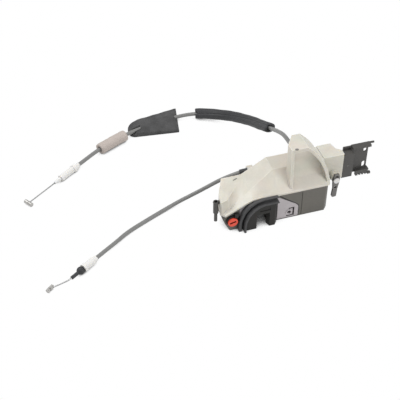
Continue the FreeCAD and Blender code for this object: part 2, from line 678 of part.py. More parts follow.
def make_collar():
    ring = tube((KNOB_X, -2.6, KNOB_Z), (KNOB_X, 0.0, KNOB_Z), COLLAR_R, KNOB_R + GAP)
    trim = block(KNOB_X - 12, KNOB_X + 12, -4, 1, KNOB_Z - 12, KNOB_Z - 2.0)
    lug = block(KNOB_X + 2.6, KNOB_X + 7.2, -4.2, 0.0, KNOB_Z + 6.8, KNOB_Z + 11.5)
    return ring.cut(trim).fuse(lug)


# Splash cover with its cable funnel

def cover_stations():
    """Sections across the cover: place along X, foot of the lip, ridge, edge of the top, back of the top."""
    return [(-53.0, 21.5, (1.8, 25.8), (4.5, 43.5), LOW_TOP - 2.0),
            (-42.0, 27.3, (3.9, 31.4), (6.5, LOW_TOP), LOW_TOP),
            (-20.0, 38.3, (10.2, 43.6), (33.0, LOW_TOP + 0.4), LOW_TOP),
            (-12.5, COVER_FOOT, (12.6, 47.8), (38.5, LOW_TOP + 0.8), LOW_TOP + 0.3),
            (20.0, COVER_FOOT, (RIDGE_Y, COVER_TOP), (30.0, COVER_TOP), COVER_TOP),
            (COVER_END, COVER_FOOT, (RIDGE_Y, COVER_TOP), (30.0, COVER_TOP), COVER_TOP)]


def cover_section(station, inset):
    x, foot, ridge, edge, back_top = station
    outline = [(COVER_FRONT, foot), (COVER_FRONT, foot + COVER_LIP), ridge, edge, (COVER_BACK, back_top),
               (COVER_BACK, COVER_BACK_FOOT)]
    if inset:
        outline = inset_outline(outline, [inset, inset, inset, inset, inset, -6.0])
    return Part.makePolygon([Vector(x, y, z) for y, z in outline + outline[:1]])


def cover_plan(inset):
    outline = [(-46.5, -3.0), (COVER_END + inset * 2, -3.0), (COVER_END + inset * 2, 50.0), (-36.5, 50.0),
               (-49.0, 22.0),
               (-52.0, 6.5)]
    return inset_outline(outline, [inset] * len(outline)) if inset else outline


def cover_body(inset):
    wires = [cover_section(station, inset) for station in cover_stations()]
    body = Part.makeLoft(wires, True, True)
    return body.common(prism("xy", cover_plan(inset), -5.0, FUNNEL_TOP))


def funnel_wire(inset, level):
    """The funnel from the front: upright left side, flat top, right side bowed out."""
    left = FUNNEL_LEFT + (FIN_T if inset else 0.0)
    thick = RIM_T if inset else 0.0
    top = FUNNEL_TOP - (3.0 if inset else 0.0)
    foot = COVER_FOOT - (1.0 if inset else 0.0)
    corner = Vector(FUNNEL_LEFT + 21.0 - thick * 0.6, level, top)
    middle = Vector(COVER_END - 8.4 - thick * 0.83, level, FUNNEL_TOP - 27.0 - thick * 0.5)
    low = Vector(COVER_END + 1.8 - thick, level, foot)
    edges = [Part.LineSegment(Vector(left, level, foot), Vector(left, level, top)).toShape(),
             Part.LineSegment(Vector(left, level, top), corner).toShape(),
             Part.Arc(corner, middle, low).toShape(),
             Part.LineSegment(low, Vector(left, level, foot)).toShape()]
    return Part.Wire(edges)


def funnel_block(inset, start, end):
    return Part.Face(funnel_wire(inset, start)).extrude(Vector(0, end - start, 0))


def panel_outline(back):
    """The hollow in front of the funnel's panel, seen from the side, moved back by the given amount."""
    rise = (COVER_TOP - COVER_FOOT - COVER_LIP) / (RIDGE_Y - COVER_FRONT)
    slope = math.hypot(1.0, rise)
    return [(-8.0, COVER_FOOT + COVER_LIP - rise * 6.5 - back * slope),
            (RIDGE_Y + back, COVER_TOP - 0.5 - back * (slope - 1), PANEL_R), (4.5 + back, FUNNEL_TOP - 4.5),
            (-8.0, FUNNEL_TOP - 4.5)]


def funnel_plan(inset):
    left = FUNNEL_LEFT
    far = COVER_END + 7.0
    outline = [(left - 6.5, -1.0), (far, -1.0), (far, FUNNEL_BACK - 8.0), (far - 19.0, FUNNEL_BACK),
               (left + 10.5, FUNNEL_BACK), (left - 0.1, 17.5), (left - 6.5, 17.5)]
    return inset_outline(outline, [inset] * len(outline)) if inset else outline


def front_slant():
    """What is cut off the funnel's front so that it leans back towards its top."""
    return prism("yz", [(-9.0, 38.0), (0.2, 38.0), (5.0, FUNNEL_TOP + 1), (-9.0, FUNNEL_TOP + 1)],
                 FUNNEL_LEFT - 6.5, COVER_END + 7.0)


def make_splash_cover():
    outer = cover_body(0.0)
    funnel = funnel_block(0.0, -0.5, FUNNEL_BACK).common(prism("xy", funnel_plan(0.0), 30.0, FUNNEL_TOP + 6))
    funnel = funnel.cut(front_slant())
    hollow_front = prism("yz", panel_outline(0.0), 20.0, 100.0)
    hollow_front = hollow_front.common(funnel_block(1.0, -8.0, FUNNEL_BACK))
    funnel = funnel.cut(hollow_front)
    shell = outer.fuse(funnel)
    room = cover_body(COVER_WALL)
    duct_side = prism("yz", [(COVER_BACK - 8.0, 40.0), (FUNNEL_BACK, FUNNEL_TOP - 3.0),
                             (7.5, FUNNEL_TOP - 3.0),
                             (7.5, FUNNEL_TOP - 4.5), (RIDGE_Y + 2.5, COVER_TOP - 0.5),
                             (RIDGE_Y + 2.5, 40.0)],
                      20.0, 100.0)
    duct = funnel_block(1.0, 1.0, FUNNEL_BACK + 5).common(duct_side)
    duct = duct.common(prism("xy", funnel_plan(2.2), 30.0, FUNNEL_TOP + 6))
    shell = shell.cut(room).cut(duct)
    # rooms for the frame below, the cable and the pieces that come through
    frame_room = inset_outline(frame_outline(), [-GAP] * len(frame_outline()))
    shell = shell.cut(prism("xz", frame_room, -0.1, FRAME_DEPTH + 3.0))
    start = Vector(*CABLE_1_ROUTE[0])
    heading = (Vector(*CABLE_1_ROUTE[1]) - start).normalize()
    shell = shell.cut(Part.makeCylinder(SHEATH_R + 0.2, 30.0, start - heading * 15, heading))
    arm_front = ROD_Y + ROD_TUBE_R + GAP
    shell = shell.cut(block(-60.0, -38.0, arm_front - 1.5, arm_front + LOCK_ARM_T + 1.5, LOCK_LEVER_Z - 9.5,
                            ROD_PIN_Z + 2.8))
    shell = shell.cut(block(CASE_LEFT - GAP, CASE_LEFT + 6.0, CASE_FRONT - GAP, 60.0, 20.0,
                            COVER_TOP + GAP))
    return shell.cut(rod((WHEEL_X, 40.0, WHEEL_Z), (WHEEL_X, COVER_BACK + 1, WHEEL_Z), WHEEL_PIN_R))


def make_actuator_case():
    wall = CASE_WALL
    waist = CASE_BACK - 11.5
    plan = [(CASE_LEFT, CASE_FRONT), (CASE_RIGHT, CASE_FRONT, 1.5), (CASE_RIGHT, waist - 5.0),
            (CASE_RIGHT - CASE_BEVEL + 2.5, waist),
            (CASE_RIGHT - CASE_BEVEL, CASE_BACK), (CASE_LEFT, CASE_BACK)]
    inner = [(CASE_LEFT - 1, CASE_FRONT + wall), (CASE_RIGHT - wall, CASE_FRONT + wall),
             (CASE_RIGHT - wall, waist - 6.0), (CASE_RIGHT - CASE_BEVEL + 0.9, waist - 1.4),
             (CASE_RIGHT - CASE_BEVEL - 1.8, CASE_BACK - wall), (CASE_LEFT - 1, CASE_BACK - wall)]
    body = prism("xy", plan, CASE_FOOT, COVER_TOP)
    body = body.cut(prism("xy", inner, CASE_FOOT + CASE_WALL, COVER_TOP - CASE_WALL))
    boss = rod((LEVER_X, LEVER_Y + LEVER_T + GAP, LEVER_Z), (LEVER_X, CASE_FRONT, LEVER_Z), 5.0)
    body = body.fuse(boss)
    body = body.cut(rod((LEVER_X, LEVER_Y, LEVER_Z), (LEVER_X, CASE_FRONT + 1, LEVER_Z),
                        LEVER_PIN_R + RUN_FIT))
    window = block(CASE_RIGHT - 3, CASE_RIGHT + 1, SOCKET_FRONT + 2.5, SOCKET_BACK - 4.0, SOCKET_FOOT + 5,
                   SOCKET_TOP - 5)
    frame_room = block(CASE_LEFT - 1, FRAME_RIGHT + GAP, 0, FRAME_DEPTH + LID_GAP + LID_T + GAP, 0,
                       FRAME_TOP + GAP)
    return body.cut(window).cut(frame_room)


def make_rear_cover():
    """The dark back of the lock: a lid on the frame, a tray behind it and the ear for the lock lever."""
    lid_front = FRAME_DEPTH + LID_GAP
    lid_back = lid_front + LID_T
    lid = prism("xz", inset_outline(frame_outline(), [0.6] * 7), lid_front, lid_back)
    tray = block(TRAY_LEFT, TRAY_RIGHT, lid_back, TRAY_BACK, TRAY_FOOT, TRAY_TOP)
    tray = tray.cut(block(TRAY_LEFT + 2, TRAY_RIGHT - 2, lid_back, TRAY_BACK - 2, TRAY_FOOT + 2,
                          TRAY_TOP + 1))
    body = lid.fuse(tray)
    for x in (8.0, 58.0):
        rib = block(x - 1, x + 1, lid_back, TRAY_BACK - 2, TRAY_FOOT + 2, SLIDE_Z + 2.0)
        body = body.fuse(rib.cut(block(x - 2, x + 2, SLIDE_Y - GAP, SLIDE_Y + SLIDE_T + GAP, SLIDE_Z - GAP,
                                       SLIDE_Z + 9)))
    ear = arm((LOCK_LEVER_X, LOCK_LEVER_Z), 4.0, (LOCK_LEVER_X + 1.5, TRAY_FOOT + 0.5), 4.0, lid_front,
              REAR_ARM_Y - GAP * 2)
    body = body.fuse(ear)
    body = body.cut(rod((LOCK_LEVER_X, 20, LOCK_LEVER_Z), (LOCK_LEVER_X, 40, LOCK_LEVER_Z),
                        LOCK_SHAFT_R + RUN_FIT))
    for x, z in SCREW_PLACES:
        body = body.cut(rod((x, 20, z), (x, 40, z), SCREW_R + 0.3))
    return body


def make_screws():
    screws = []
    head_y = FRAME_DEPTH + LID_GAP + LID_T
    for x, z in SCREW_PLACES:
        shank = rod((x, FRAME_DEPTH - SCREW_LENGTH + 1.0, z), (x, head_y, z), SCREW_R - 0.02)
        head = rod((x, head_y, z), (x, head_y + 1.9, z), 2.8)
        screws.append(shank.fuse(head))
    return Part.makeCompound(screws)


# Gears

def gear(teeth, x, z, start, end, bore, turn):
    """A spur gear with straight-flanked teeth and plenty of backlash."""
    pitch_r = MODULE * teeth / 2
    tip_r = pitch_r + MODULE * 0.85
    root_r = pitch_r - MODULE * 1.15
    step = 2 * math.pi / teeth
    points = []
    for index in range(teeth):
        centre = index * step + math.radians(turn)
        for share, radius in ((-0.29, root_r), (-0.115, tip_r), (0.115, tip_r), (0.29, root_r)):
            angle = centre + share * step
            points.append((x + radius * math.cos(angle), z + radius * math.sin(angle)))
    body = prism("xz", points, start, end)
    return body.cut(rod((x, start - 1, z), (x, end + 1, z), bore))


def make_lock_wheel():
    wheel = gear(WHEEL_TEETH, WHEEL_X, WHEEL_Z, GEAR_Y, GEAR_Y + GEAR_T, WHEEL_PIN_R + RUN_FIT, 0.0)
    return wheel.fuse(rod((CRANK_X, SLIDE_Y, CRANK_Z), (CRANK_X, GEAR_Y, CRANK_Z), CRANK_PIN_R))


def make_pinion():
    return gear(PINION_TEETH, PINION_X, WHEEL_Z, GEAR_Y, GEAR_Y + GEAR_T, MOTOR_SHAFT_R,
                180.0 + 180.0 / PINION_TEETH)


def make_motor():
    front = CASE_FRONT + CASE_WALL + 0.05
    back = GEAR_Y - 1.5
    can = rod((PINION_X, front, WHEEL_Z), (PINION_X, back, WHEEL_Z), MOTOR_R)
    can = can.cut(block(PINION_X - 20, PINION_X + 20, 0, 60, WHEEL_Z + 6.4, WHEEL_Z + 20))
    can = can.cut(block(PINION_X - 20, PINION_X + 20, 0, 60, WHEEL_Z - 20, WHEEL_Z - 6.4))
    nose = rod((PINION_X, back, WHEEL_Z), (PINION_X, back + 1.0, WHEEL_Z), 3.0)
    return can.fuse(nose).cut(rod((PINION_X, front + 3, WHEEL_Z), (PINION_X, back + 2, WHEEL_Z),
                                  MOTOR_SHAFT_R + RUN_FIT))


def make_motor_shaft():
    return rod((PINION_X, CASE_FRONT + CASE_WALL + 4.0, WHEEL_Z), (PINION_X, GEAR_Y + GEAR_T, WHEEL_Z),
               MOTOR_SHAFT_R)


# Release chain

def make_pawl_shaft():
    x, z = PAWL_X, PAWL_Z
    shoulder = PLATE_T + GAP
    arm_back = ARM_Y + ARM_T
    return fuse_all([rod((x, 0.2, z), (x, shoulder, z), PAWL_TIP_R),
                     rod((x, shoulder, z), (x, arm_back, z), PAWL_PIN_R),
                     rod((x, arm_back, z), (x, arm_back + 4.5, z), TAIL_R)])


def make_pawl_arm():
    body = arm((PAWL_X, PAWL_Z), PAWL_PIN_R + 2.0, (ARM_TIP_X, ARM_TIP_Z), ARM_TIP_R, ARM_Y, ARM_Y + ARM_T)
    return body.cut(rod((PAWL_X, 0, PAWL_Z), (PAWL_X, 30, PAWL_Z), PAWL_PIN_R))


def make_release_lever():
    """A bell crank: the pull wire lifts its long arm and its tab presses the pawl's arm down."""
    hub = (RELEASE_X, RELEASE_Z)
    back = RELEASE_Y + RELEASE_T
    tab_z = ARM_TIP_Z + 2 * ARM_TIP_R + GAP
    long_arm = arm(hub, RELEASE_HUB_R, (RELEASE_END_X, RELEASE_END_Z), RELEASE_END_R, RELEASE_Y, back)
    short_arm = arm(hub, RELEASE_HUB_R, (RELEASE_TAB_X, tab_z), ARM_TIP_R, RELEASE_Y, back)
    tab = rod((RELEASE_TAB_X, ARM_Y, tab_z), (RELEASE_TAB_X, back, tab_z), ARM_TIP_R)
    body = fuse_all([long_arm, short_arm, tab])
    for x, z, radius in ((RELEASE_X, RELEASE_Z, RELEASE_PIN_R + RUN_FIT),
                         (RELEASE_END_X, RELEASE_END_Z, 1.5)):
        body = body.cut(rod((x, 0, z), (x, 30, z), radius))
    return body


def make_release_pin():
    x, z = RELEASE_X, RELEASE_Z
    head = RELEASE_Y + RELEASE_T + GAP
    return rod((x, WEB_FRONT, z), (x, head, z), RELEASE_PIN_R).fuse(rod((x, head, z), (x, head + 1.2, z),
                                                                        4.0))


def make_rotor_spring():
    first = WEB_FRONT + WEB_T + 1.0 + SPRING_WIRE_R + 0.05
    return coil(ROTOR_X, ROTOR_Z, first, TAIL_R + SPRING_WIRE_R + 0.1, SPRING_WIRE_R, 4, 9.0)


def make_pawl_spring():
    first = ARM_Y + ARM_T + GAP + SPRING_WIRE_R
    return coil(PAWL_X, PAWL_Z, first, TAIL_R + SPRING_WIRE_R + GAP + 0.05, SPRING_WIRE_R, 3, 6.0)


def make_switch():
    floor = TRAY_FOOT + 2
    box = block(38.0, 52.0, FRAME_DEPTH + LID_GAP + LID_T, 36.0, floor, floor + 6.5)
    return box.fuse(rod((42.0, 33.0, floor + 6.5), (42.0, 33.0, floor + 7.7), 1.2))


# Lock chain

def make_lock_slide():
    """A bar with a fork up round the crank pin and a fork down over the lock lever's pin."""
    back = SLIDE_Y + SLIDE_T
    right = CRANK_X + CRANK_PIN_R + 2.4
    bar = block(SLIDE_LEFT, right, SLIDE_Y, back, SLIDE_Z, SLIDE_Z + SLIDE_H)
    left_head = block(SLIDE_LEFT, LOCK_LEVER_X + 3.2, SLIDE_Y, back, SLIDE_Z, SLIDE_Z + 5.1)
    right_head = block(CRANK_X - CRANK_PIN_R - 2.4, right, SLIDE_Y, back, SLIDE_Z,
                       WHEEL_Z - WHEEL_PIN_R - 0.4)
    body = fuse_all([bar, left_head, right_head])
    pin_z = LOCK_LEVER_Z + REAR_ARM_RISE
    half = REAR_PIN_R + GAP
    body = body.cut(block(LOCK_LEVER_X - half, LOCK_LEVER_X + half, 30, 45, SLIDE_Z - 1, pin_z + half))
    half = CRANK_PIN_R + GAP
    return body.cut(block(CRANK_X - half, CRANK_X + half, 30, 45, CRANK_Z - half - 0.3, WHEEL_Z))


def make_lock_lever():
    x, z = LOCK_LEVER_X, LOCK_LEVER_Z
    arm_front = ROD_Y + ROD_TUBE_R + GAP
    rear_back = REAR_ARM_Y + REAR_ARM_T
    pin_z = z + REAR_ARM_RISE
    return fuse_all([rod((x, arm_front, z), (x, rear_back, z), LOCK_SHAFT_R),
                     arm((x, z), LOCK_HUB_R, (ROD_X, ROD_PIN_Z), 2.0, arm_front, arm_front + LOCK_ARM_T),
                     rod((ROD_X, ROD_Y - 0.5, ROD_PIN_Z), (ROD_X, arm_front, ROD_PIN_Z), ROD_PIN_R),
                     arm((x, z), LOCK_HUB_R, (x, pin_z), 2.2, REAR_ARM_Y, rear_back),
                     rod((x, rear_back, pin_z), (x, SLIDE_Y + SLIDE_T, pin_z), REAR_PIN_R)])


def make_rod_socket():
    """It hangs on the lock lever's pin and takes the rod of the lock button in its top."""
    body = rod((ROD_X, ROD_Y, ROD_FOOT), (ROD_X, ROD_Y, ROD_TOP), ROD_TUBE_R)
    body = body.fuse(rod((ROD_X, ROD_Y, ROD_TAIL_FOOT), (ROD_X, ROD_Y, ROD_FOOT), TAIL_R))
    body = body.cut(rod((ROD_X, ROD_Y, ROD_TOP - ROD_BORE_DEPTH), (ROD_X, ROD_Y, ROD_TOP + 1), ROD_BORE_R))
    return body.cut(rod((ROD_X, ROD_Y - 1.0, ROD_PIN_Z), (ROD_X, ROD_Y + 9, ROD_PIN_Z), ROD_PIN_R + RUN_FIT))


def make_wheel_pin():
    return rod((WHEEL_X, GEAR_Y - 0.7, WHEEL_Z), (WHEEL_X, COVER_BACK, WHEEL_Z), WHEEL_PIN_R)


# Connector and bracket

def terminal_boxes():
    pitch = (SOCKET_TOP - SOCKET_FOOT - 14.0) / (PIN_COUNT - 1)
    middle = (SOCKET_FRONT + SOCKET_BACK) / 2
    boxes = []
    for index in range(PIN_COUNT):
        z = SOCKET_FOOT + 7.0 + index * pitch
        boxes.append(block(CASE_RIGHT - 5.0, SOCKET_RIGHT - 5.0, middle - 0.4, middle + 0.4, z - 1.2,
                           z + 1.2))
    return boxes


def make_connector():
    body = block(CASE_RIGHT, SOCKET_RIGHT, SOCKET_FRONT, SOCKET_BACK, SOCKET_FOOT, SOCKET_TOP)
    cavity = block(CASE_RIGHT + 3.5, SOCKET_RIGHT + 1, SOCKET_FRONT + SOCKET_WALL, SOCKET_BACK - SOCKET_WALL,
                   SOCKET_FOOT + 3.0, SOCKET_TOP - 3.0)
    body = body.cut(cavity)
    for box in terminal_boxes():
        body = body.cut(box)
    return body


def make_bracket():
    plate_front = SOCKET_BACK
    plate_back = SOCKET_BACK + BRACKET_T
    plate = block(CASE_RIGHT + 3.5, BRACKET_RIGHT, plate_front, plate_back, BRACKET_FOOT, BRACKET_TOP)
    top_rail = block(SOCKET_RIGHT, BRACKET_RIGHT + 1, plate_front - 6, plate_back, BRACKET_TOP - 2,
                     BRACKET_TOP + 1)
    top_tip = block(BRACKET_RIGHT, BRACKET_RIGHT + 7.5, plate_front, plate_back, BRACKET_TOP - 1.5,
                    BRACKET_TOP + 0.5)
    low_rail = block(SOCKET_RIGHT + 7, BRACKET_RIGHT + 2, plate_front - 5, plate_back, BRACKET_FOOT + 3,
                     BRACKET_FOOT + 5)
    teeth = block(SOCKET_RIGHT + 9, BRACKET_RIGHT + 2, plate_front - 4, plate_front, BRACKET_FOOT - 4,
                  BRACKET_FOOT + 3)
    body = fuse_all([plate, top_rail, top_tip, low_rail, teeth])
    body = body.fuse(block(BRACKET_RIGHT, BRACKET_RIGHT + 6, plate_front - 4, plate_front - 1,
                           BRACKET_FOOT - 5,
                           BRACKET_FOOT - 2))
    for index in range(4):
        x = SOCKET_RIGHT + 12 + index * 4
        body = body.cut(block(x, x + 1.8, plate_front - 10, plate_front - 2, BRACKET_FOOT - 6,
                              BRACKET_FOOT - 1))
    slot_x = BRACKET_RIGHT - 4.0
    reach = BRACKET_SLOT_L / 2 - BRACKET_SLOT_R
    for z in BRACKET_SLOT_ZS:
        body = body.cut(arm((slot_x, z - reach), BRACKET_SLOT_R, (slot_x, z + reach), BRACKET_SLOT_R, 30, 40))
    return body


def make_outside_lever():
    back = LEVER_Y + LEVER_T
    outline = [(LEVER_X - 3.0, LEVER_Z + 9.0, 1.5), (LEVER_X + 3.5, LEVER_Z + 9.0, 1.5),
               (LEVER_X + 4.8, LEVER_Z, 3.0),
               (LEVER_X + 2.6, LEVER_Z - 14.0, 4.0), (LEVER_X + 2.0, LEVER_Z - 27.0, 2.0),
               (LEVER_X - 4.5, LEVER_Z - 27.0, 2.0), (LEVER_X - 3.4, LEVER_Z - 14.0, 4.0),
               (LEVER_X - 4.6, LEVER_Z, 3.0)]
    body = prism("xz", outline, LEVER_Y, back)
    eye = arm((LEVER_X - 0.3, LEVER_Z + 5.4), 1.4, (LEVER_X + 1.0, LEVER_Z + 5.4), 1.4, 0, 20)
    body = body.cut(eye).cut(rod((LEVER_X - 0.6, 0, LEVER_Z - 11.0), (LEVER_X - 0.6, 20, LEVER_Z - 11.0),
                                 1.8))
    return body.cut(rod((LEVER_X, 0, LEVER_Z), (LEVER_X, 20, LEVER_Z), LEVER_PIN_R))


def make_lever_pin():
    head = rod((LEVER_X, LEVER_Y - 1.4, LEVER_Z), (LEVER_X, LEVER_Y, LEVER_Z), 4.0)
    return head.fuse(rod((LEVER_X, LEVER_Y, LEVER_Z), (LEVER_X, CASE_FRONT + 1, LEVER_Z), LEVER_PIN_R))


# Cables

def part_of(edges, start, end):
    """The stretch of the edges between two distances along them."""
    stretch = []
    done = 0.0
    for edge in edges:
        length = edge.Length
        low = max(start - done, 0.0)
        high = min(end - done, length)
        if high - low > 1e-6:
            first = edge.getParameterByLength(low)
            last = edge.getParameterByLength(high)
            stretch.append(edge.Curve.toShape(first, last))
        done += length
    return stretch


def heading_to(start, end):
    return (Vector(*end) - Vector(*start)).normalize()


def turned_along(start, heading, sections):
    """Round sections on one line, each (from, to, radius at from, radius at to)."""
    pieces = []
    for near, far, near_r, far_r in sections:
        foot = Vector(*start) + heading * near
        if near_r == far_r:
            pieces.append(Part.makeCylinder(near_r, far - near, foot, heading))
        else:
            pieces.append(Part.makeCone(near_r, far_r, far - near, foot, heading))
    return fuse_all(pieces)


def cable_1_heading():
    return heading_to(CABLE_1_ROUTE[-1], CABLE_1_END)


def cable_2_heading():
    return heading_to(CABLE_2_ROUTE[-2], CABLE_2_ROUTE[-1])


def make_fitting_1():
    start = CABLE_1_ROUTE[-1]
    body = turned_along(start, cable_1_heading(), FITTING_1_SHAPE)
    body = body.cut(turned_along(start, cable_1_heading(), [(2.0, 50.0, WIRE_R + GAP, WIRE_R + GAP)]))
    return body.cut(turned_along(start, heading_to(*CABLE_1_ROUTE[-2:]),
                                 [(-2.0, 0.0, SHEATH_R + 2, SHEATH_R + 2)]))


def make_barrel_1():
    across = cable_1_heading().cross(Vector(0, 0, 1)).normalize() * (BARREL_L / 2)
    middle = Vector(*CABLE_1_END)
    return Part.makeCylinder(BARREL_R, BARREL_L, middle - across, across)


def make_wire_1():
    length = (Vector(*CABLE_1_END) - Vector(*CABLE_1_ROUTE[-1])).Length
    start = FITTING_1_SHAPE[-1][1] - WIRE_HIDDEN
    wire = turned_along(CABLE_1_ROUTE[-1], cable_1_heading(), [(start, length, WIRE_R, WIRE_R)])
    return wire.cut(make_barrel_1())


def make_fitting_2():
    body = turned_along(CABLE_2_ROUTE[-1], cable_2_heading(), FITTING_2_SHAPE)
    return body.cut(turned_along(CABLE_2_ROUTE[-1], cable_2_heading(),
                                 [(2.0, 50.0, WIRE_R + GAP, WIRE_R + GAP)]))


def make_boot_2():
    """A round rubber bulb on the fitting, with a nozzle that the wire comes out of."""
    start = CABLE_2_ROUTE[-1]
    heading = cable_2_heading()
    seat = FITTING_2_SHAPE[-1][1]
    centre = Vector(*start) + heading * (seat + BOOT_2_R - 1.0)
    bulb = Part.makeSphere(BOOT_2_R, centre)
    bulb = bulb.cut(turned_along(start, heading, [(seat - 10.0, seat, 9.0, 9.0)]))
    nozzle = turned_along(start, heading, [(seat + BOOT_2_R, BOOT_2_END, BOOT_2_NOZZLE_R, BOOT_2_NOZZLE_R)])
    return bulb.fuse(nozzle).cut(turned_along(start, heading, [(seat - 1, 60.0, WIRE_R + GAP, WIRE_R + GAP)]))


def make_ferrule_2():
    along = Vector(-0.753, -0.658, 0.0).normalize()
    middle = Vector(*CABLE_2_END)
    body = Part.makeCylinder(2.5, 10.0, middle - along * 5, along)
    groove = Part.makeCylinder(3.0, 1.6, middle + along * 0.6, along)
    return body.cut(groove.cut(Part.makeCylinder(1.6, 4.0, middle - along, along)))


def make_wire_2():
    start = Vector(*CABLE_2_ROUTE[-1])
    heading = cable_2_heading()
    hidden = start + heading * (BOOT_2_END - WIRE_HIDDEN)
    corner = start + heading * (BOOT_2_END + 5.0)
    route = [tuple(hidden), tuple(corner), CABLE_2_END]
    return pipe(path_edges(route, "wire 2", 0.24), WIRE_R).cut(make_ferrule_2())


def make_sleeve_1(edges):
    body = pipe(part_of(edges, *SLEEVE_1_SPAN), SLEEVE_R, SHEATH_R + GAP)
    for share in (0.45, 0.55):
        place = SLEEVE_1_SPAN[0] + share * (SLEEVE_1_SPAN[1] - SLEEVE_1_SPAN[0])
        body = body.cut(pipe(part_of(edges, place, place + 1.6), SLEEVE_R + 1, SLEEVE_R - 0.7))
    return body


def make_pad_1(edges):
    body = prism("xy", [(x, y, 5.0) for x, y in PAD_1_CORNERS], 0.3, PAD_1_TOP)
    return body.cut(pipe(part_of(edges, SLEEVE_1_SPAN[1] + 10, FOAM_1_SPAN[0]), SHEATH_R + 0.1))


def make_holder_and_grommet():
    """The block that holds the second cable on the cover's back, and the rubber grommet in it."""
    end = CABLE_2_ROUTE[0]
    start = (-1.0, 49.8, 46.8)
    leaving = heading_to(*CABLE_2_ROUTE[:2])
    grommet = rod(start, end, 3.5).cut(turned_along(end, leaving, [(0.0, 4.0, 9.0, 9.0)]))
    holder = block(-2.0, 6.0, COVER_BACK, 56.0, 40.0, 49.5)
    return holder.cut(grommet), grommet


def save_all():
    save("latch_frame", make_frame())
    save("face_plate", make_face_plate())
    save("back_plate", make_back_plate())
    save("rotor_core", make_rotor_core())
    save("rotor_coat", make_rotor_coat())
    save("rotor_pin", make_rotor_pin())
    save("pawl", make_pawl())
    save("mouth_block", make_mouth_block())
    save("mouth_seal", make_seal())
    save("striker_bumper", make_bumper())
    save("child_lock_knob", make_knob())
    save("child_lock_collar", make_collar())
    save("splash_cover", make_splash_cover())
    save("actuator_case", make_actuator_case())
    save("rear_cover", make_rear_cover())
    save("cover_screws", make_screws())
    save("lock_wheel", make_lock_wheel())
    save("motor_pinion", make_pinion())
    save("lock_motor", make_motor())
    save("motor_shaft", make_motor_shaft())
    save("pawl_shaft", make_pawl_shaft())
    save("pawl_arm", make_pawl_arm())
    save("release_lever", make_release_lever())
    save("release_pin", make_release_pin())
    save("rotor_spring", make_rotor_spring())
    save("pawl_spring", make_pawl_spring())
    save("latch_switch", make_switch())
    save("lock_slide", make_lock_slide())
    save("lock_lever", make_lock_lever())
    save("rod_socket", make_rod_socket())
    save("wheel_pin", make_wheel_pin())
    save("connector_housing", make_connector())
    save("terminals", Part.makeCompound(terminal_boxes()))
    save("connector_bracket", make_bracket())
    save("outside_lever", make_outside_lever())
    save("lever_pin", make_lever_pin())
    edges_1 = path_edges(CABLE_1_ROUTE, "cable 1")
    edges_2 = path_edges(CABLE_2_ROUTE, "cable 2")
    save("sheath_1", pipe(edges_1, SHEATH_R))
    save("sleeve_1", make_sleeve_1(edges_1))
    save("pad_1", make_pad_1(edges_1))
    save("foam_1", pipe(part_of(edges_1, *FOAM_1_SPAN), FOAM_R, SHEATH_R + 0.1))
    save("fitting_1", make_fitting_1())
    save("wire_1", make_wire_1())
    save("barrel_1", make_barrel_1())
    save("sheath_2", pipe(edges_2, SHEATH_2_R))
    holder, grommet = make_holder_and_grommet()
    save("cable_holder", holder)
    save("grommet_2", grommet)
    save("fitting_2", make_fitting_2())
    save("boot_2", make_boot_2())
    save("wire_2", make_wire_2())
    save("ferrule_2", make_ferrule_2())


save_all()
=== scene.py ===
"""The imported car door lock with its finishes, cables, soft pieces, marks, camera and light."""
import math

import bpy
from mathutils import Matrix, Vector


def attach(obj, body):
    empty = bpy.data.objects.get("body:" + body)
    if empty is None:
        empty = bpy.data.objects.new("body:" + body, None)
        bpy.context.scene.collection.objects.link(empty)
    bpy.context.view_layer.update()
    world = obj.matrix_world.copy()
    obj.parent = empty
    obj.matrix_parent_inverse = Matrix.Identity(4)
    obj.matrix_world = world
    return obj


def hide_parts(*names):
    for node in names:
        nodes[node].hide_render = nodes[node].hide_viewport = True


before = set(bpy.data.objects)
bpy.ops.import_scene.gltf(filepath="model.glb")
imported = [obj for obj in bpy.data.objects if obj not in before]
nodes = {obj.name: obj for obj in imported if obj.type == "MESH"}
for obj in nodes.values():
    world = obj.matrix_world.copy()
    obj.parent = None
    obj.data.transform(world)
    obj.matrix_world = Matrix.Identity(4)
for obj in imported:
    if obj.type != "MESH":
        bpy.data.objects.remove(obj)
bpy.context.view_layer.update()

# All lengths here are in metres, and all angles are in degrees unless said otherwise

# Camera, with its lens and sensor in millimetres
CAMERA_AT = (-0.3292, -0.7961, 0.8120)
CAMERA_TURN = 17.4
CAMERA_DROP = 42.0
CAMERA_LENS = 85.05
SENSOR = 36.0

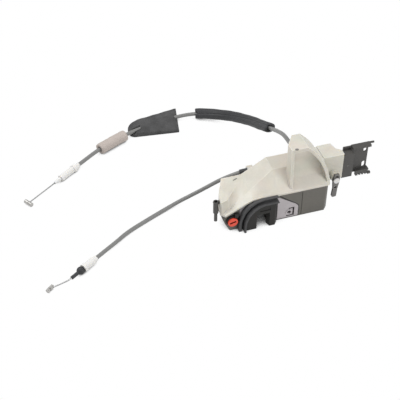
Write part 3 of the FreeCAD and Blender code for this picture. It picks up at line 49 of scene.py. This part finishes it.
# Cables: the points that each sheath follows, from the lock to its far end
SHEATH_1_D = 0.0052
SHEATH_2_D = 0.0050
CABLE_1_ROUTE = [
    (0.0434, 0.0270, 0.0964), (0.0446, 0.0460, 0.0934), (0.0451, 0.0640, 0.0860),
    (0.0459, 0.0900, 0.0715), (0.0450, 0.1260, 0.0520), (0.0405, 0.1655, 0.0330),
    (0.0305, 0.1980, 0.0178), (0.0117, 0.2212, 0.0096), (-0.0095, 0.2315, 0.0080),
    (-0.0280, 0.2366, 0.0058), (-0.0480, 0.2356, 0.0052), (-0.0720, 0.2317, 0.0052),
    (-0.0965, 0.2250, 0.0056), (-0.1210, 0.2152, 0.0074), (-0.1440, 0.2039, 0.0074),
    (-0.1650, 0.1929, 0.0074), (-0.1809, 0.1829, 0.0061), (-0.1949, 0.1733, 0.0056)]
CABLE_2_ROUTE = [
    (-0.0101, 0.0541, 0.0425), (-0.0289, 0.0586, 0.0350), (-0.0532, 0.0635, 0.0195),
    (-0.0700, 0.0662, 0.0100), (-0.0870, 0.0652, 0.0046), (-0.1070, 0.0584, 0.0026),
    (-0.1351, 0.0456, 0.0026), (-0.1634, 0.0319, 0.0026), (-0.1815, 0.0175, 0.0038),
    (-0.1991, 0.0042, 0.0058), (-0.2108, -0.0035, 0.0056)]
CURVE_STEPS = 12
CURVE_ROUNDNESS = 6

# Soft tubes on the first cable. Each has the stretch of the cable that it covers, its half width
# and half height, the way its top faces, and its mesh as rings along it and points round it
TUBE_BORE = 0.0029
TUBE_END_ROUND = 0.05
HEADING_REACH = 0.004
SLEEVE_SPAN = (0.0770, 0.2485)
SLEEVE_HALF = (0.0076, 0.0056)
SLEEVE_FACING = (-0.12, -0.55, 0.82)
SLEEVE_MESH = (90, 72)
FOAM_SPAN = (0.3595, 0.4035)
FOAM_HALF = (0.0080, 0.0071)
FOAM_FACING = (0.0, 0.0, 1.0)
FOAM_MESH = (40, 40)
# Seam on the sleeve's top: two grooves beside a rib, with a notch where the seam meets each end
SEAM_OFFSET = 0.0017
SEAM_DEPTH = 0.0013
SEAM_HALF_W = 0.00055
NOTCH = 0.0035
NOTCH_HALF_W = 0.0024
LOWER_PULL = 0.0015
# Slack of the soft tubes as waves: a share of the half size, turns in radians along the piece,
# and waves round it
SLEEVE_WAVES = ((0.020, 21.0, 1), (0.015, 47.0, -2))
FOAM_WAVES = ((0.012, 14.0, 2), (0.010, 33.0, -3))

# Felt pad folded over the first cable: its corners as (x, y), its mesh as columns and rows, its
# round nose, its heights, and the open mouth at the nose where the cable comes out
PAD_MESH = (90, 48)
PAD_CORNERS = [(-0.0985, 0.2465), (-0.0352, 0.2590), (-0.0449, 0.2077), (-0.1035, 0.2150)]
PAD_NOSE = 0.0120
PAD_FOOT = 0.0004
PAD_EDGE = 0.0052
PAD_TOP = 0.0092
PAD_HUMP_W = 0.0105
PAD_ROUNDING = 9.0
PAD_END_ROUNDING = 1.2
PAD_EDGE_DROP = 0.45
PAD_RIPPLE = 0.00025
PAD_RIPPLE_PER_X = 310.0
PAD_RIPPLE_PER_Y = 170.0
MOUTH_DEPTH = 0.0170
MOUTH_HALF_W = 0.0042
MOUTH_HEIGHT = 0.0030
MOUTH_SLOPE = 0.4

# A dark strip as painted shadow in the gap round the face plate, from below its right end over its
# slope, as (x, z)
PLATE_GAP_SHADOW = [
    (0.0490, 0.0004), (0.0490, 0.0158), (0.0486, 0.0178), (0.0474, 0.0196), (0.0455, 0.0212),
    (0.0228, 0.0388)]
EDGE_LINE_W = -0.0011
EDGE_LINE_FRONT = -0.00004
EDGE_LINE_DEPTH = 0.0006

# Small marks moulded into the covers: name, solid, the start and heading of a ray that meets
# the solid where the mark lies, width and height, and turn
MARKS = [
    ("duct_mark", "splash_cover", (0.0430, 0.0054, 0.13), (0, 0, -1), (0.0040, 0.0034), -12.0),
    ("plateau_slot", "splash_cover", (-0.0221, 0.0390, 0.13), (0, 0, -1), (0.0070, 0.0013), -22.0),
    ("socket_mark", "connector_housing", (0.1240, -0.10, 0.0439), (0, 1, 0), (0.0034, 0.0016), 20.0),
]
# A mark's section from its outside to its middle: share of its size, and height over the solid
MARK_SECTION = ((1.0, -0.0002), (1.0, 0.00010), (0.86, 0.00016), (0.30, 0.00016), (0.24, -0.0002))
MARK_SIDES = 32
MARK_SQUARENESS = 0.6

# Colours, as light reflects from each surface
COVER_WHITE = (0.690, 0.655, 0.575)
COVER_PINK = (0.620, 0.545, 0.490)
COVER_GREEN = (0.560, 0.590, 0.510)
# Edge colour of the cover: partly wear, partly painted highlight
COVER_EDGE_WEAR_AND_HIGHLIGHT = (0.93, 0.91, 0.86)
CASE_GREY = (0.124, 0.117, 0.102)
BLOCK_GREY = (0.032, 0.031, 0.029)
SEAL_GREY = (0.060, 0.060, 0.062)
PLATE_STEEL = (0.46, 0.43, 0.44)
BRIGHT_STEEL = (0.55, 0.54, 0.52)
LEVER_STEEL = (0.16, 0.155, 0.15)
ROTOR_BLACK = (0.030, 0.030, 0.030)
KNOB_RED = (0.78, 0.075, 0.035)
PLUG_BLACK = (0.068, 0.065, 0.061)
SHEATH_GREY = (0.205, 0.205, 0.20)
SLEEVE_BLACK = (0.030, 0.031, 0.034)
FELT_GREY = (0.068, 0.068, 0.069)
FOAM_BEIGE = (0.47, 0.415, 0.38)
FITTING_WHITE = (0.74, 0.73, 0.71)
WIRE_STEEL = (0.42, 0.42, 0.42)
END_TIN = (0.50, 0.49, 0.47)
MARK_GREY = (0.16, 0.155, 0.145)

# What all finishes share: where a noise's values mostly lie, specks and clouds against the tone
# patches, and the cosine between the true and the rounded normal on flat surface and on edges that
# are lightened as wear and painted highlight
NOISE_RANGE = (0.3, 0.7)
SPECKS_PER_PATCH = 9.0
SPECK_SPREAD = 0.5
CLOUDS_PER_PATCH = 0.8
CLOUD_SHARE = 0.45
EDGE_RANGE = (0.995, 0.90)
# Openness of the surface where the painted corner shade is darkest, and where it ends
CORNER_RANGE = (0.15, 0.85)
EDGE_WEAR_AND_HIGHLIGHT_GAIN = 1.6
EDGE_WEAR_AND_HIGHLIGHT_LIFT = 0.08
GLOSSIER = 0.08
DULLER = 0.10
LEAST_ROUGH = 0.05
GRAIN_STRENGTH = 0.6
GLOW_RADIUS = (1.0, 0.9, 0.7)
GLOW_DEPTH = 0.004
# Sockets of a Mix node for colours, by number, since its other kinds share the names
MIX_SHARE, MIX_FIRST, MIX_SECOND, MIX_RESULT = 0, 6, 7, 2

# Floor and light. Lamps: name, place, the point aimed at, width, and power in watts
FLOOR_REACH = 6.0
FLOOR_Z = -0.0002
PAPER_WHITE = (0.80, 0.80, 0.80)
HOLLOW_REACH = 0.030
HOLLOW_RANGE = (0.14, 0.44)
HOLLOW_LIGHT = 0.03
ROOM_LIGHT = 0.54
LAMPS = [
    ("lamp_top", (-0.6, 0.4, 1.3), (0.0, 0.05, 0.0), 0.9, 13.0),
    ("lamp_side", (0.9, -1.1, 0.9), (0.0, 0.0, 0.03), 0.8, 9.0),
]


def link(tree, source, output, target, socket):
    """A link from one node's output to another's input, each by its name or its number."""
    tree.links.new(source.outputs[output], target.inputs[socket])


def noise_node(tree, coords, scale, detail, rough=0.55):
    """Noise fixed to the object, with its scale in waves per metre."""
    node = tree.nodes.new("ShaderNodeTexNoise")
    node.inputs["Scale"].default_value = scale
    node.inputs["Detail"].default_value = detail
    node.inputs["Roughness"].default_value = rough
    link(tree, coords, "Object", node, "Vector")
    return node


def range_node(tree, source, output, low, high, taken=NOISE_RANGE):
    """The taken range of a value, stretched to run from low to high."""
    node = tree.nodes.new("ShaderNodeMapRange")
    node.inputs["From Min"].default_value = taken[0]
    node.inputs["From Max"].default_value = taken[1]
    node.inputs["To Min"].default_value = low
    node.inputs["To Max"].default_value = high
    link(tree, source, output, node, "Value")
    return node


def mix_node(tree, first=None, second=None, share=None, blend="MIX"):
    """A mix of two colours. What isn't given as a constant is linked afterwards."""
    node = tree.nodes.new("ShaderNodeMix")
    node.data_type = "RGBA"
    node.blend_type = blend
    if first:
        node.inputs[MIX_FIRST].default_value = (*first, 1.0)
    if second:
        node.inputs[MIX_SECOND].default_value = (*second, 1.0)
    if share is not None:
        node.inputs[MIX_SHARE].default_value = share
    return node


def math_node(tree, operation, first, first_output, second, second_output):
    """One number worked out from an output of each of two nodes."""
    node = tree.nodes.new("ShaderNodeMath")
    node.operation = operation
    link(tree, first, first_output, node, 0)
    link(tree, second, second_output, node, 1)
    return node


def hollow_node(tree, reach, samples):
    """How open the surface is within its reach: 1 in the open and less in a hollow."""
    node = tree.nodes.new("ShaderNodeAmbientOcclusion")
    node.samples = samples
    node.inputs["Distance"].default_value = reach
    return node


def patchy_colour(tree, coords, patches, colour, tints, patch, spread):
    """The colour with large tone patches and specks, and with clouds of two tints if given."""
    specks = noise_node(tree, coords, patch * SPECKS_PER_PATCH, detail=3.0)
    tone = range_node(tree, patches, "Fac", 1.0 - spread, 1.0 + spread)
    speck_spread = spread * SPECK_SPREAD
    speck_tone = range_node(tree, specks, "Fac", 1.0 - speck_spread, 1.0 + speck_spread)
    times = math_node(tree, "MULTIPLY", tone, "Result", speck_tone, "Result")
    tinted = mix_node(tree, first=colour, share=1.0, blend="MULTIPLY")
    link(tree, times, 0, tinted, MIX_SECOND)
    if tints:
        clouds = noise_node(tree, coords, patch * CLOUDS_PER_PATCH, detail=1.0)
        share = range_node(tree, clouds, "Fac", 0.0, 1.0)
        cloudy = mix_node(tree, first=tints[0], second=tints[1])
        link(tree, share, "Result", cloudy, MIX_SHARE)
        clouded = mix_node(tree, first=colour, share=CLOUD_SHARE)
        link(tree, cloudy, MIX_RESULT, clouded, MIX_SECOND)
        link(tree, clouded, MIX_RESULT, tinted, MIX_FIRST)
    return tinted


def worn_and_highlit_edges(tree, bevel, colour, worn_and_highlight_colour, wear_and_highlight):
    """The colour turned lighter on edges, as wear and as painted highlight: where the rounded normal
    leaves the true one.
    """
    geometry = tree.nodes.new("ShaderNodeNewGeometry")
    dot = tree.nodes.new("ShaderNodeVectorMath")
    dot.operation = "DOT_PRODUCT"
    link(tree, bevel, "Normal", dot, 0)
    link(tree, geometry, "Normal", dot, 1)
    edges = range_node(tree, dot, "Value", 0.0, wear_and_highlight, EDGE_RANGE)
    worn_and_highlit = mix_node(tree, second=worn_and_highlight_colour)
    link(tree, edges, "Result", worn_and_highlit, MIX_SHARE)
    link(tree, colour, MIX_RESULT, worn_and_highlit, MIX_FIRST)
    return worn_and_highlit


def painted_corner_shade(tree, colour, corner_shade, reach):
    """The colour made darker in grooves and inner corners as painted shade, where the surface lies
    in a hollow.
    """
    corner = hollow_node(tree, reach, samples=8)
    depth = range_node(tree, corner, "AO", 1.0 - corner_shade, 1.0, CORNER_RANGE)
    corner_shaded = mix_node(tree, share=1.0, blend="MULTIPLY")
    link(tree, colour, MIX_RESULT, corner_shaded, MIX_FIRST)
    link(tree, depth, "Result", corner_shaded, MIX_SECOND)
    return corner_shaded


def finish_of(name, colour, rough=0.5, metal=0.0, grain=1400.0, grain_depth=0.00004, patch=45.0,
              spread=0.12, wear_and_highlight=0.10, edge=0.0006, glow=0.0, tints=None, corner_shade=0.45, reach=0.005,
              worn_and_highlight_colour=None, shine=0.5):
    """A surface with tone patches, fine grain, softened edges lightened as wear and painted
    highlight, and painted shade in its corners.

    Patch and grain are waves per metre. Edge, reach and grain_depth are lengths. The others are
    shares from 0 to 1.
    """
    material = bpy.data.materials.new(name)
    material.use_nodes = True
    tree = material.node_tree
    shader = tree.nodes["Principled BSDF"]
    coords = tree.nodes.new("ShaderNodeTexCoord")
    patches = noise_node(tree, coords, patch, detail=4.0)
    patchy = patchy_colour(tree, coords, patches, colour, tints, patch, spread)
    bevel = tree.nodes.new("ShaderNodeBevel")
    bevel.samples = 4
    bevel.inputs["Radius"].default_value = edge
    # Edges lighten towards this colour: partly wear, partly painted highlight
    lighter = worn_and_highlight_colour or [min(1.0, part * EDGE_WEAR_AND_HIGHLIGHT_GAIN + EDGE_WEAR_AND_HIGHLIGHT_LIFT) for part in colour]
    worn_and_highlit = worn_and_highlit_edges(tree, bevel, patchy, lighter, wear_and_highlight)
    # Painted shade: the colour is darkened in grooves and inner corners
    corner_shaded = painted_corner_shade(tree, worn_and_highlit, corner_shade, reach)
    link(tree, corner_shaded, MIX_RESULT, shader, "Base Color")
    smoothest = max(LEAST_ROUGH, rough - GLOSSIER)
    roughest = min(1.0, rough + DULLER)
    gloss = range_node(tree, patches, "Fac", smoothest, roughest)
    link(tree, gloss, "Result", shader, "Roughness")
    shader.inputs["Metallic"].default_value = metal
    shader.inputs["Specular IOR Level"].default_value = shine
    fine = noise_node(tree, coords, grain, detail=2.0, rough=0.6)
    bump = tree.nodes.new("ShaderNodeBump")
    bump.inputs["Strength"].default_value = GRAIN_STRENGTH
    bump.inputs["Distance"].default_value = grain_depth
    link(tree, fine, "Fac", bump, "Height")
    link(tree, bevel, "Normal", bump, "Normal")
    link(tree, bump, "Normal", shader, "Normal")
    if glow > 0:
        shader.inputs["Subsurface Weight"].default_value = glow
        shader.inputs["Subsurface Radius"].default_value = GLOW_RADIUS
        shader.inputs["Subsurface Scale"].default_value = GLOW_DEPTH
    return material


# The cover's edges carry the strongest painted highlight
cover = finish_of("cover_plastic", COVER_WHITE, rough=0.40, spread=0.05, wear_and_highlight=0.75, edge=0.0011,
                  glow=0.45, tints=(COVER_PINK, COVER_GREEN), corner_shade=0.22, reach=0.010,
                  worn_and_highlight_colour=COVER_EDGE_WEAR_AND_HIGHLIGHT)
case = finish_of("case_plastic", CASE_GREY, rough=0.50, spread=0.10, wear_and_highlight=0.14, edge=0.0007,
                 patch=30.0, corner_shade=0.8, reach=0.003)
block = finish_of("block_plastic", BLOCK_GREY, rough=0.55, spread=0.12, wear_and_highlight=0.15, corner_shade=0.7,
                  shine=0.2)
seal = finish_of("seal_rubber", SEAL_GREY, rough=0.62, spread=0.15, wear_and_highlight=0.12, edge=0.0010,
                 corner_shade=0.85, reach=0.0035)
plate = finish_of("plate_steel", PLATE_STEEL, rough=0.45, metal=0.35, spread=0.08, wear_and_highlight=0.35,
                  grain=900.0)
bright = finish_of("bright_steel", BRIGHT_STEEL, rough=0.32, metal=0.9, spread=0.10, wear_and_highlight=0.3)
dark = finish_of("dark_plastic", PLUG_BLACK, rough=0.48, spread=0.12, wear_and_highlight=0.12)
black = finish_of("rotor_plastic", ROTOR_BLACK, rough=0.35, spread=0.15, wear_and_highlight=0.10)
red = finish_of("knob_plastic", KNOB_RED, rough=0.35, spread=0.06, wear_and_highlight=0.15, corner_shade=0.85,
                reach=0.004)
lever = finish_of("lever_steel", LEVER_STEEL, rough=0.40, metal=0.5, spread=0.15, wear_and_highlight=0.35)
white = finish_of("fitting_plastic", FITTING_WHITE, rough=0.38, spread=0.04, wear_and_highlight=0.2, glow=0.2,
                  corner_shade=0.4)
sheath = finish_of("sheath_plastic", SHEATH_GREY, rough=0.42, spread=0.06, wear_and_highlight=0.05, patch=25.0)
sleeve = finish_of("sleeve_rubber", SLEEVE_BLACK, rough=0.55, spread=0.18, wear_and_highlight=0.10, grain=700.0,
                   grain_depth=0.00012)
felt = finish_of("pad_felt", FELT_GREY, rough=0.90, spread=0.28, wear_and_highlight=0.05, patch=90.0,
                 grain=2200.0, grain_depth=0.00018)
shade = finish_of("mark_shade", MARK_GREY, rough=0.7, spread=0.2, wear_and_highlight=0.0)
foam = finish_of("foam_beige", FOAM_BEIGE, rough=0.95, spread=0.07, wear_and_highlight=0.05, grain=1500.0,
                 grain_depth=0.0001)
wire = finish_of("wire_steel", WIRE_STEEL, rough=0.35, metal=0.8, spread=0.1, wear_and_highlight=0.1,
                 grain=2500.0)
tin = finish_of("end_metal", END_TIN, rough=0.38, metal=0.7, spread=0.12, wear_and_highlight=0.3)

FINISHES = {
    cover: ["splash_cover", "actuator_case", "cable_holder"],
    case: ["latch_frame"],
    block: ["mouth_block", "child_lock_collar"],
    seal: ["mouth_seal", "striker_bumper"],
    plate: ["face_plate"],
    bright: ["back_plate", "rotor_pin", "pawl_shaft", "pawl_arm", "release_pin", "cover_screws",
             "wheel_pin", "lock_motor", "motor_shaft", "rotor_spring", "pawl_spring", "terminals",
             "release_lever"],
    dark: ["rear_cover", "connector_housing", "connector_bracket", "latch_switch", "rod_socket"],
    black: ["rotor_coat", "rotor_core", "pawl"],
    red: ["child_lock_knob"],
    lever: ["outside_lever", "lock_lever"],
    white: ["fitting_1", "fitting_2", "lock_slide", "lock_wheel", "motor_pinion", "lever_pin"],
    sleeve: ["grommet_2", "boot_2"],
    wire: ["wire_1", "wire_2"],
    tin: ["barrel_1", "ferrule_2"],
}
for material, names in FINISHES.items():
    for name in names:
        nodes[name].data.materials.clear()
        nodes[name].data.materials.append(material)


def add_to_scene(name, data):
    """A new object of the scene that shows some data."""
    thing = bpy.data.objects.new(name, data)
    bpy.context.scene.collection.objects.link(thing)
    return thing


def add_camera():
    """The camera, turned to the right and then tipped down."""
    turn = math.radians(CAMERA_TURN)
    drop = math.radians(CAMERA_DROP)
    level = math.cos(drop)
    forward = Vector((math.sin(turn) * level, math.cos(turn) * level, -math.sin(drop)))
    right = Vector((math.cos(turn), -math.sin(turn), 0.0))
    up = right.cross(forward)
    data = bpy.data.cameras.new("camera")
    data.lens = CAMERA_LENS
    data.sensor_width = SENSOR
    camera = add_to_scene("camera", data)
    turned = Matrix((right, up, -forward)).transposed().to_4x4()
    camera.matrix_world = Matrix.Translation(Vector(CAMERA_AT)) @ turned
    bpy.context.scene.camera = camera


def nurbs_cable(name, route, diameter, material):
    """A round cable along the same points as its solid, and the points its line runs through."""
    data = bpy.data.curves.new(name, "CURVE")
    data.dimensions = "3D"
    data.resolution_u = CURVE_STEPS
    spline = data.splines.new("NURBS")
    spline.points.add(len(route) - 1)
    for point, place in zip(spline.points, route):
        point.co = (*place, 1.0)
    spline.order_u = 3
    spline.use_endpoint_u = True
    cable = add_to_scene(name, data)
    data.materials.append(material)
    bare = bpy.data.meshes.new_from_object(cable)
    line = [vertex.co.copy() for vertex in bare.vertices]
    bpy.data.meshes.remove(bare)
    data.bevel_depth = diameter / 2
    data.bevel_resolution = CURVE_ROUNDNESS
    data.use_fill_caps = True
    return cable, line


def new_piece(name, mesh, material, body):
    """A smooth-shaded piece of the scene that rides on a body."""
    piece = add_to_scene(name, mesh)
    mesh.materials.append(material)
    for polygon in mesh.polygons:
        polygon.use_smooth = True
    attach(piece, body)
    return piece


def mesh_of(name, vertices, faces):
    """A mesh from a list of points and the faces between them."""
    mesh = bpy.data.meshes.new(name)
    mesh.from_pydata([tuple(vertex) for vertex in vertices], [], faces)
    return mesh


def point_at(line, distance):
    """The place at a distance along a line of points."""
    for start, end in zip(line, line[1:]):
        step = (end - start).length
        if distance <= step:
            return start.lerp(end, distance / step)
        distance -= step
    return line[-1].copy()


def heading_at(line, distance):
    """The heading at a distance along a line, smoothed over a short reach on both sides."""
    before = point_at(line, max(distance - HEADING_REACH, 0.0))
    after = point_at(line, distance + HEADING_REACH)
    return (after - before).normalized()


def tube_mesh(name, line, span, half, facing, counts, outline, pull):
    """A hollow soft tube round a cable: outline scales its size and pull draws its ends in."""
    rings, around = counts
    vertices = []
    for side in ("outside", "inside"):
        for ring in range(rings + 1):
            share = ring / rings
            from_end = min(share, 1 - share) * rings
            end_round = min(1.0, 1.0 - TUBE_END_ROUND + TUBE_END_ROUND * from_end)
            for index in range(around):
                angle = 2 * math.pi * index / around
                inward = pull(angle)
                distance = span[0] + inward + (span[1] - span[0] - 2 * inward) * share
                heading = heading_at(line, distance)
                across = heading.cross(facing).normalized()
                top = across.cross(heading).normalized()
                if side == "outside":
                    scale = outline(angle, share) * end_round
                    sideways = across * half[0] * math.cos(angle) * scale
                    offset = sideways + top * half[1] * math.sin(angle) * scale
                else:
                    offset = (across * math.cos(angle) + top * math.sin(angle)) * TUBE_BORE
                vertices.append(point_at(line, distance) + offset)
    layer = (rings + 1) * around
    last = rings * around
    faces = []
    for ring in range(rings):
        for index in range(around):
            a = ring * around + index
            b = ring * around + (index + 1) % around
            faces.append((a, b, b + around, a + around))
            faces.append((layer + a, layer + a + around, layer + b + around, layer + b))
    for index in range(around):
        after = (index + 1) % around
        faces.append((index, layer + index, layer + after, after))
        faces.append((last + index, last + after, layer + last + after, layer + last + index))
    return mesh_of(name, vertices, faces)


def slack(waves, angle, share):
    """How far a soft tube swells or shrinks at an angle round it and a share of its length."""
    return sum(size * math.sin(share * along + round_it * angle) for size, along, round_it in waves)


def sleeve_outline(angle, share):
    """The sleeve's size at an angle: slack all round, and the seam's two grooves on top."""
    sideways = math.cos(angle) * SLEEVE_HALF[0]
    groove = 0.0
    if math.sin(angle) > 0:
        for place in (-SEAM_OFFSET, SEAM_OFFSET):
            groove += math.exp(-((sideways - place) / SEAM_HALF_W) ** 2)
    return 1.0 + slack(SLEEVE_WAVES, angle, share) - groove * SEAM_DEPTH / SLEEVE_HALF[1]


def sleeve_pull(angle):
    """How far the sleeve's ends draw in: a notch at the seam, and a little below."""
    sideways = math.cos(angle) * SLEEVE_HALF[0]
    if math.sin(angle) > 0:
        return NOTCH * math.exp(-(sideways / NOTCH_HALF_W) ** 2)
    return LOWER_PULL


def foam_outline(angle, share):
    """The foam's size at an angle: a plain round with some slack."""
    return 1.0 + slack(FOAM_WAVES, angle, share)


def pad_height(place, share, across, flat_line, from_nose):
    """The pad's top: a hump over the cable, thin rounded edges, and a mouth at its nose."""
    near = min((place - point).length for point in flat_line)
    to_rim = min(1 - abs(across), PAD_END_ROUNDING * min(share, 1 - share))
    edge = min(1.0, to_rim * PAD_ROUNDING)
    hump = math.exp(-(near / PAD_HUMP_W) ** 2)
    height = PAD_EDGE * (1 - PAD_EDGE_DROP + PAD_EDGE_DROP * math.sqrt(edge))
    height += (PAD_TOP - PAD_EDGE) * hump * edge
    ripple = math.sin(place.x * PAD_RIPPLE_PER_X + place.y * PAD_RIPPLE_PER_Y)
    height += PAD_RIPPLE * ripple * edge
    if from_nose < MOUTH_DEPTH and near < MOUTH_HALF_W:
        height = min(height, MOUTH_HEIGHT + MOUTH_SLOPE * near)
    return height


def pad_mesh(line):
    """Two layers of felt tape closed round the cable, with a round nose at the left end."""
    columns, rows = PAD_MESH
    corners = [Vector((x, y, 0.0)) for x, y in PAD_CORNERS]
    top_left, top_right, low_right, low_left = corners
    along = ((top_right + low_right) - (top_left + low_left)).normalized()
    nose_centre = (top_left + low_left) / 2
    nose_half = (top_left - low_left) / 2
    flat_line = [Vector((point.x, point.y, 0.0)) for point in line]
    vertices = []
    for column in range(columns + 1):
        share = column / columns
        for row in range(rows + 1):
            across = 2.0 * row / rows - 1.0
            angle = across * math.pi / 2
            bow = along * PAD_NOSE * math.cos(angle)
            left = nose_centre + nose_half * math.sin(angle) - bow
            right = low_right.lerp(top_right, (across + 1) / 2)
            place = left.lerp(right, share)
            from_nose = (place - nose_centre).dot(along) + PAD_NOSE
            height = pad_height(place, share, across, flat_line, from_nose)
            vertices.append((place.x, place.y, height))
    under = len(vertices)
    vertices += [(x, y, PAD_FOOT) for x, y, _ in vertices]
    width = rows + 1
    faces = []
    for column in range(columns):
        for row in range(rows):
            a = column * width + row
            b = a + width
            faces.append((a, b, b + 1, a + 1))
            faces.append((under + a, under + a + 1, under + b + 1, under + b))
    rim = list(range(width))
    rim += [column * width + rows for column in range(1, columns + 1)]
    rim += [columns * width + row for row in range(rows - 1, -1, -1)]
    rim += [column * width for column in range(columns - 1, 0, -1)]
    for here, after in zip(rim, rim[1:] + rim[:1]):
        faces.append((here, after, under + after, under + here))
    return mesh_of("pad", vertices, faces)


def edge_line_mesh(name, points, width, front, depth):
    """A thin bar beside a run of points (x, z), with its outer face at y = front."""
    section = ((0.0, front), (width, front), (width, front + depth), (0.0, front + depth))
    sides = len(section)
    vertices = []
    for index, point in enumerate(points):
        before = Vector(points[max(index - 1, 0)])
        after = Vector(points[min(index + 1, len(points) - 1)])
        heading = (after - before).normalized()
        outward = Vector((-heading.y, heading.x))
        for step, y in section:
            place = Vector(point) + outward * step
            vertices.append((place.x, y, place.y))
    last = (len(points) - 1) * sides
    faces = [tuple(reversed(range(sides)))]
    for start in range(0, last, sides):
        for side in range(sides):
            after = (side + 1) % sides
            faces.append((start + side, start + after, start + sides + after, start + sides + side))
    faces.append(tuple(range(last, last + sides)))
    return mesh_of(name, vertices, faces)


def squared(value):
    """A sine or cosine pushed outwards, so that the oval it draws has fuller corners."""
    return math.copysign(abs(value) ** MARK_SQUARENESS, value)


def mark_mesh(name, node, start, heading, size, turn):
    """A flat rounded ring that lies on the solid where a ray from a start point meets it."""
    found, place, normal, _ = nodes[node].ray_cast(Vector(start), Vector(heading))
    if not found:
        raise RuntimeError(name + " meets no surface")
    spin = normal.to_track_quat("Z", "Y")
    turned = Matrix.Rotation(math.radians(turn), 3, "Z")
    vertices = []
    for scale, lift in MARK_SECTION:
        for index in range(MARK_SIDES):
            angle = 2 * math.pi * index / MARK_SIDES
            x = squared(math.cos(angle)) * size[0] / 2 * scale
            y = squared(math.sin(angle)) * size[1] / 2 * scale
            vertices.append(place + spin @ (turned @ Vector((x, y, lift))))
    loops = len(MARK_SECTION)
    faces = []
    for loop in range(loops):
        here = loop * MARK_SIDES
        following = (loop + 1) % loops * MARK_SIDES
        for index in range(MARK_SIDES):
            after = (index + 1) % MARK_SIDES
            faces.append((here + index, here + after, following + after, following + index))
    return mesh_of(name, vertices, faces)


def paper_material():
    """Matt paper that the camera sees as plain white, with its shade below deep hollows."""
    paper = bpy.data.materials.new("paper")
    paper.use_nodes = True
    tree = paper.node_tree
    matt = tree.nodes["Principled BSDF"]
    matt.inputs["Base Color"].default_value = (*PAPER_WHITE, 1.0)
    matt.inputs["Roughness"].default_value = 0.9
    rays = tree.nodes.new("ShaderNodeLightPath")
    lit = tree.nodes.new("ShaderNodeEmission")
    hollow = hollow_node(tree, HOLLOW_REACH, samples=12)
    shadow = range_node(tree, hollow, "AO", HOLLOW_LIGHT, 1.0, HOLLOW_RANGE)
    link(tree, shadow, "Result", lit, "Color")
    seen = math_node(tree, "MAXIMUM", rays, "Is Camera Ray", rays, "Is Glossy Ray")
    through = math_node(tree, "MAXIMUM", seen, "Value", rays, "Is Transmission Ray")
    choose = tree.nodes.new("ShaderNodeMixShader")
    link(tree, through, "Value", choose, 0)
    link(tree, matt, "BSDF", choose, 1)
    link(tree, lit, "Emission", choose, 2)
    link(tree, choose, "Shader", tree.nodes["Material Output"], "Surface")
    return paper


def add_floor():
    """A wide sheet of paper just below the part."""
    reach = FLOOR_REACH
    corners = [(-reach, -reach), (reach, -reach), (reach, reach), (-reach, reach)]
    mesh = mesh_of("floor", [(x, y, FLOOR_Z) for x, y in corners], [(0, 1, 2, 3)])
    floor = add_to_scene("floor", mesh)
    mesh.materials.append(paper_material())


def add_room_light():
    """Even white light from all round."""
    world = bpy.data.worlds.new("room")
    bpy.context.scene.world = world
    world.use_nodes = True
    background = world.node_tree.nodes["Background"]
    background.inputs["Color"].default_value = (1.0, 1.0, 1.0, 1.0)
    background.inputs["Strength"].default_value = ROOM_LIGHT


def add_lamp(name, place, aim, width, power):
    """A square lamp that faces the point it is aimed at."""
    data = bpy.data.lights.new(name, "AREA")
    data.shape = "RECTANGLE"
    data.size = width
    data.size_y = width
    data.energy = power
    lamp = add_to_scene(name, data)
    lamp.location = place
    lamp.rotation_mode = "QUATERNION"
    lamp.rotation_quaternion = (Vector(aim) - Vector(place)).to_track_quat("-Z", "Y")


add_camera()

# The two cables, in place of their plain sheaths
cable_1, line_1 = nurbs_cable("cable_1", CABLE_1_ROUTE, SHEATH_1_D, sheath)
cable_2, _ = nurbs_cable("cable_2", CABLE_2_ROUTE, SHEATH_2_D, sheath)
for cable, solid in ((cable_1, "sheath_1"), (cable_2, "sheath_2")):
    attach(cable, "housing")
    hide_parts(solid)

# The soft pieces on the first cable
sleeve_mesh = tube_mesh("sleeve", line_1, SLEEVE_SPAN, SLEEVE_HALF, Vector(SLEEVE_FACING),
                        SLEEVE_MESH, sleeve_outline, sleeve_pull)
sleeve_piece = new_piece("sleeve", sleeve_mesh, sleeve, "housing")
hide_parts("sleeve_1")
foam_mesh = tube_mesh("foam", line_1, FOAM_SPAN, FOAM_HALF, Vector(FOAM_FACING),
                      FOAM_MESH, foam_outline, lambda angle: 0.0)
foam_piece = new_piece("foam", foam_mesh, foam, "housing")
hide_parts("foam_1")
pad_piece = new_piece("pad", pad_mesh(line_1), felt, "housing")
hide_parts("pad_1")

# The fine dark strip of painted shadow round the face plate, and the marks on the front
gap_shadow_mesh = edge_line_mesh("plate_gap_shadow_line", PLATE_GAP_SHADOW, EDGE_LINE_W, EDGE_LINE_FRONT,
                           EDGE_LINE_DEPTH)
new_piece("plate_gap_shadow_line", gap_shadow_mesh, black, "housing")
for name, node, start, heading, size, turn in MARKS:
    mesh = mark_mesh(name, node, start, heading, size, turn)
    new_piece(name, mesh, shade, "housing")

# A pale room, a lamp above the left rear and a weaker one before the right front
add_floor()
add_room_light()
for name, place, aim, width, power in LAMPS:
    add_lamp(name, place, aim, width, power)
bpy.context.scene.view_settings.view_transform = "Standard"
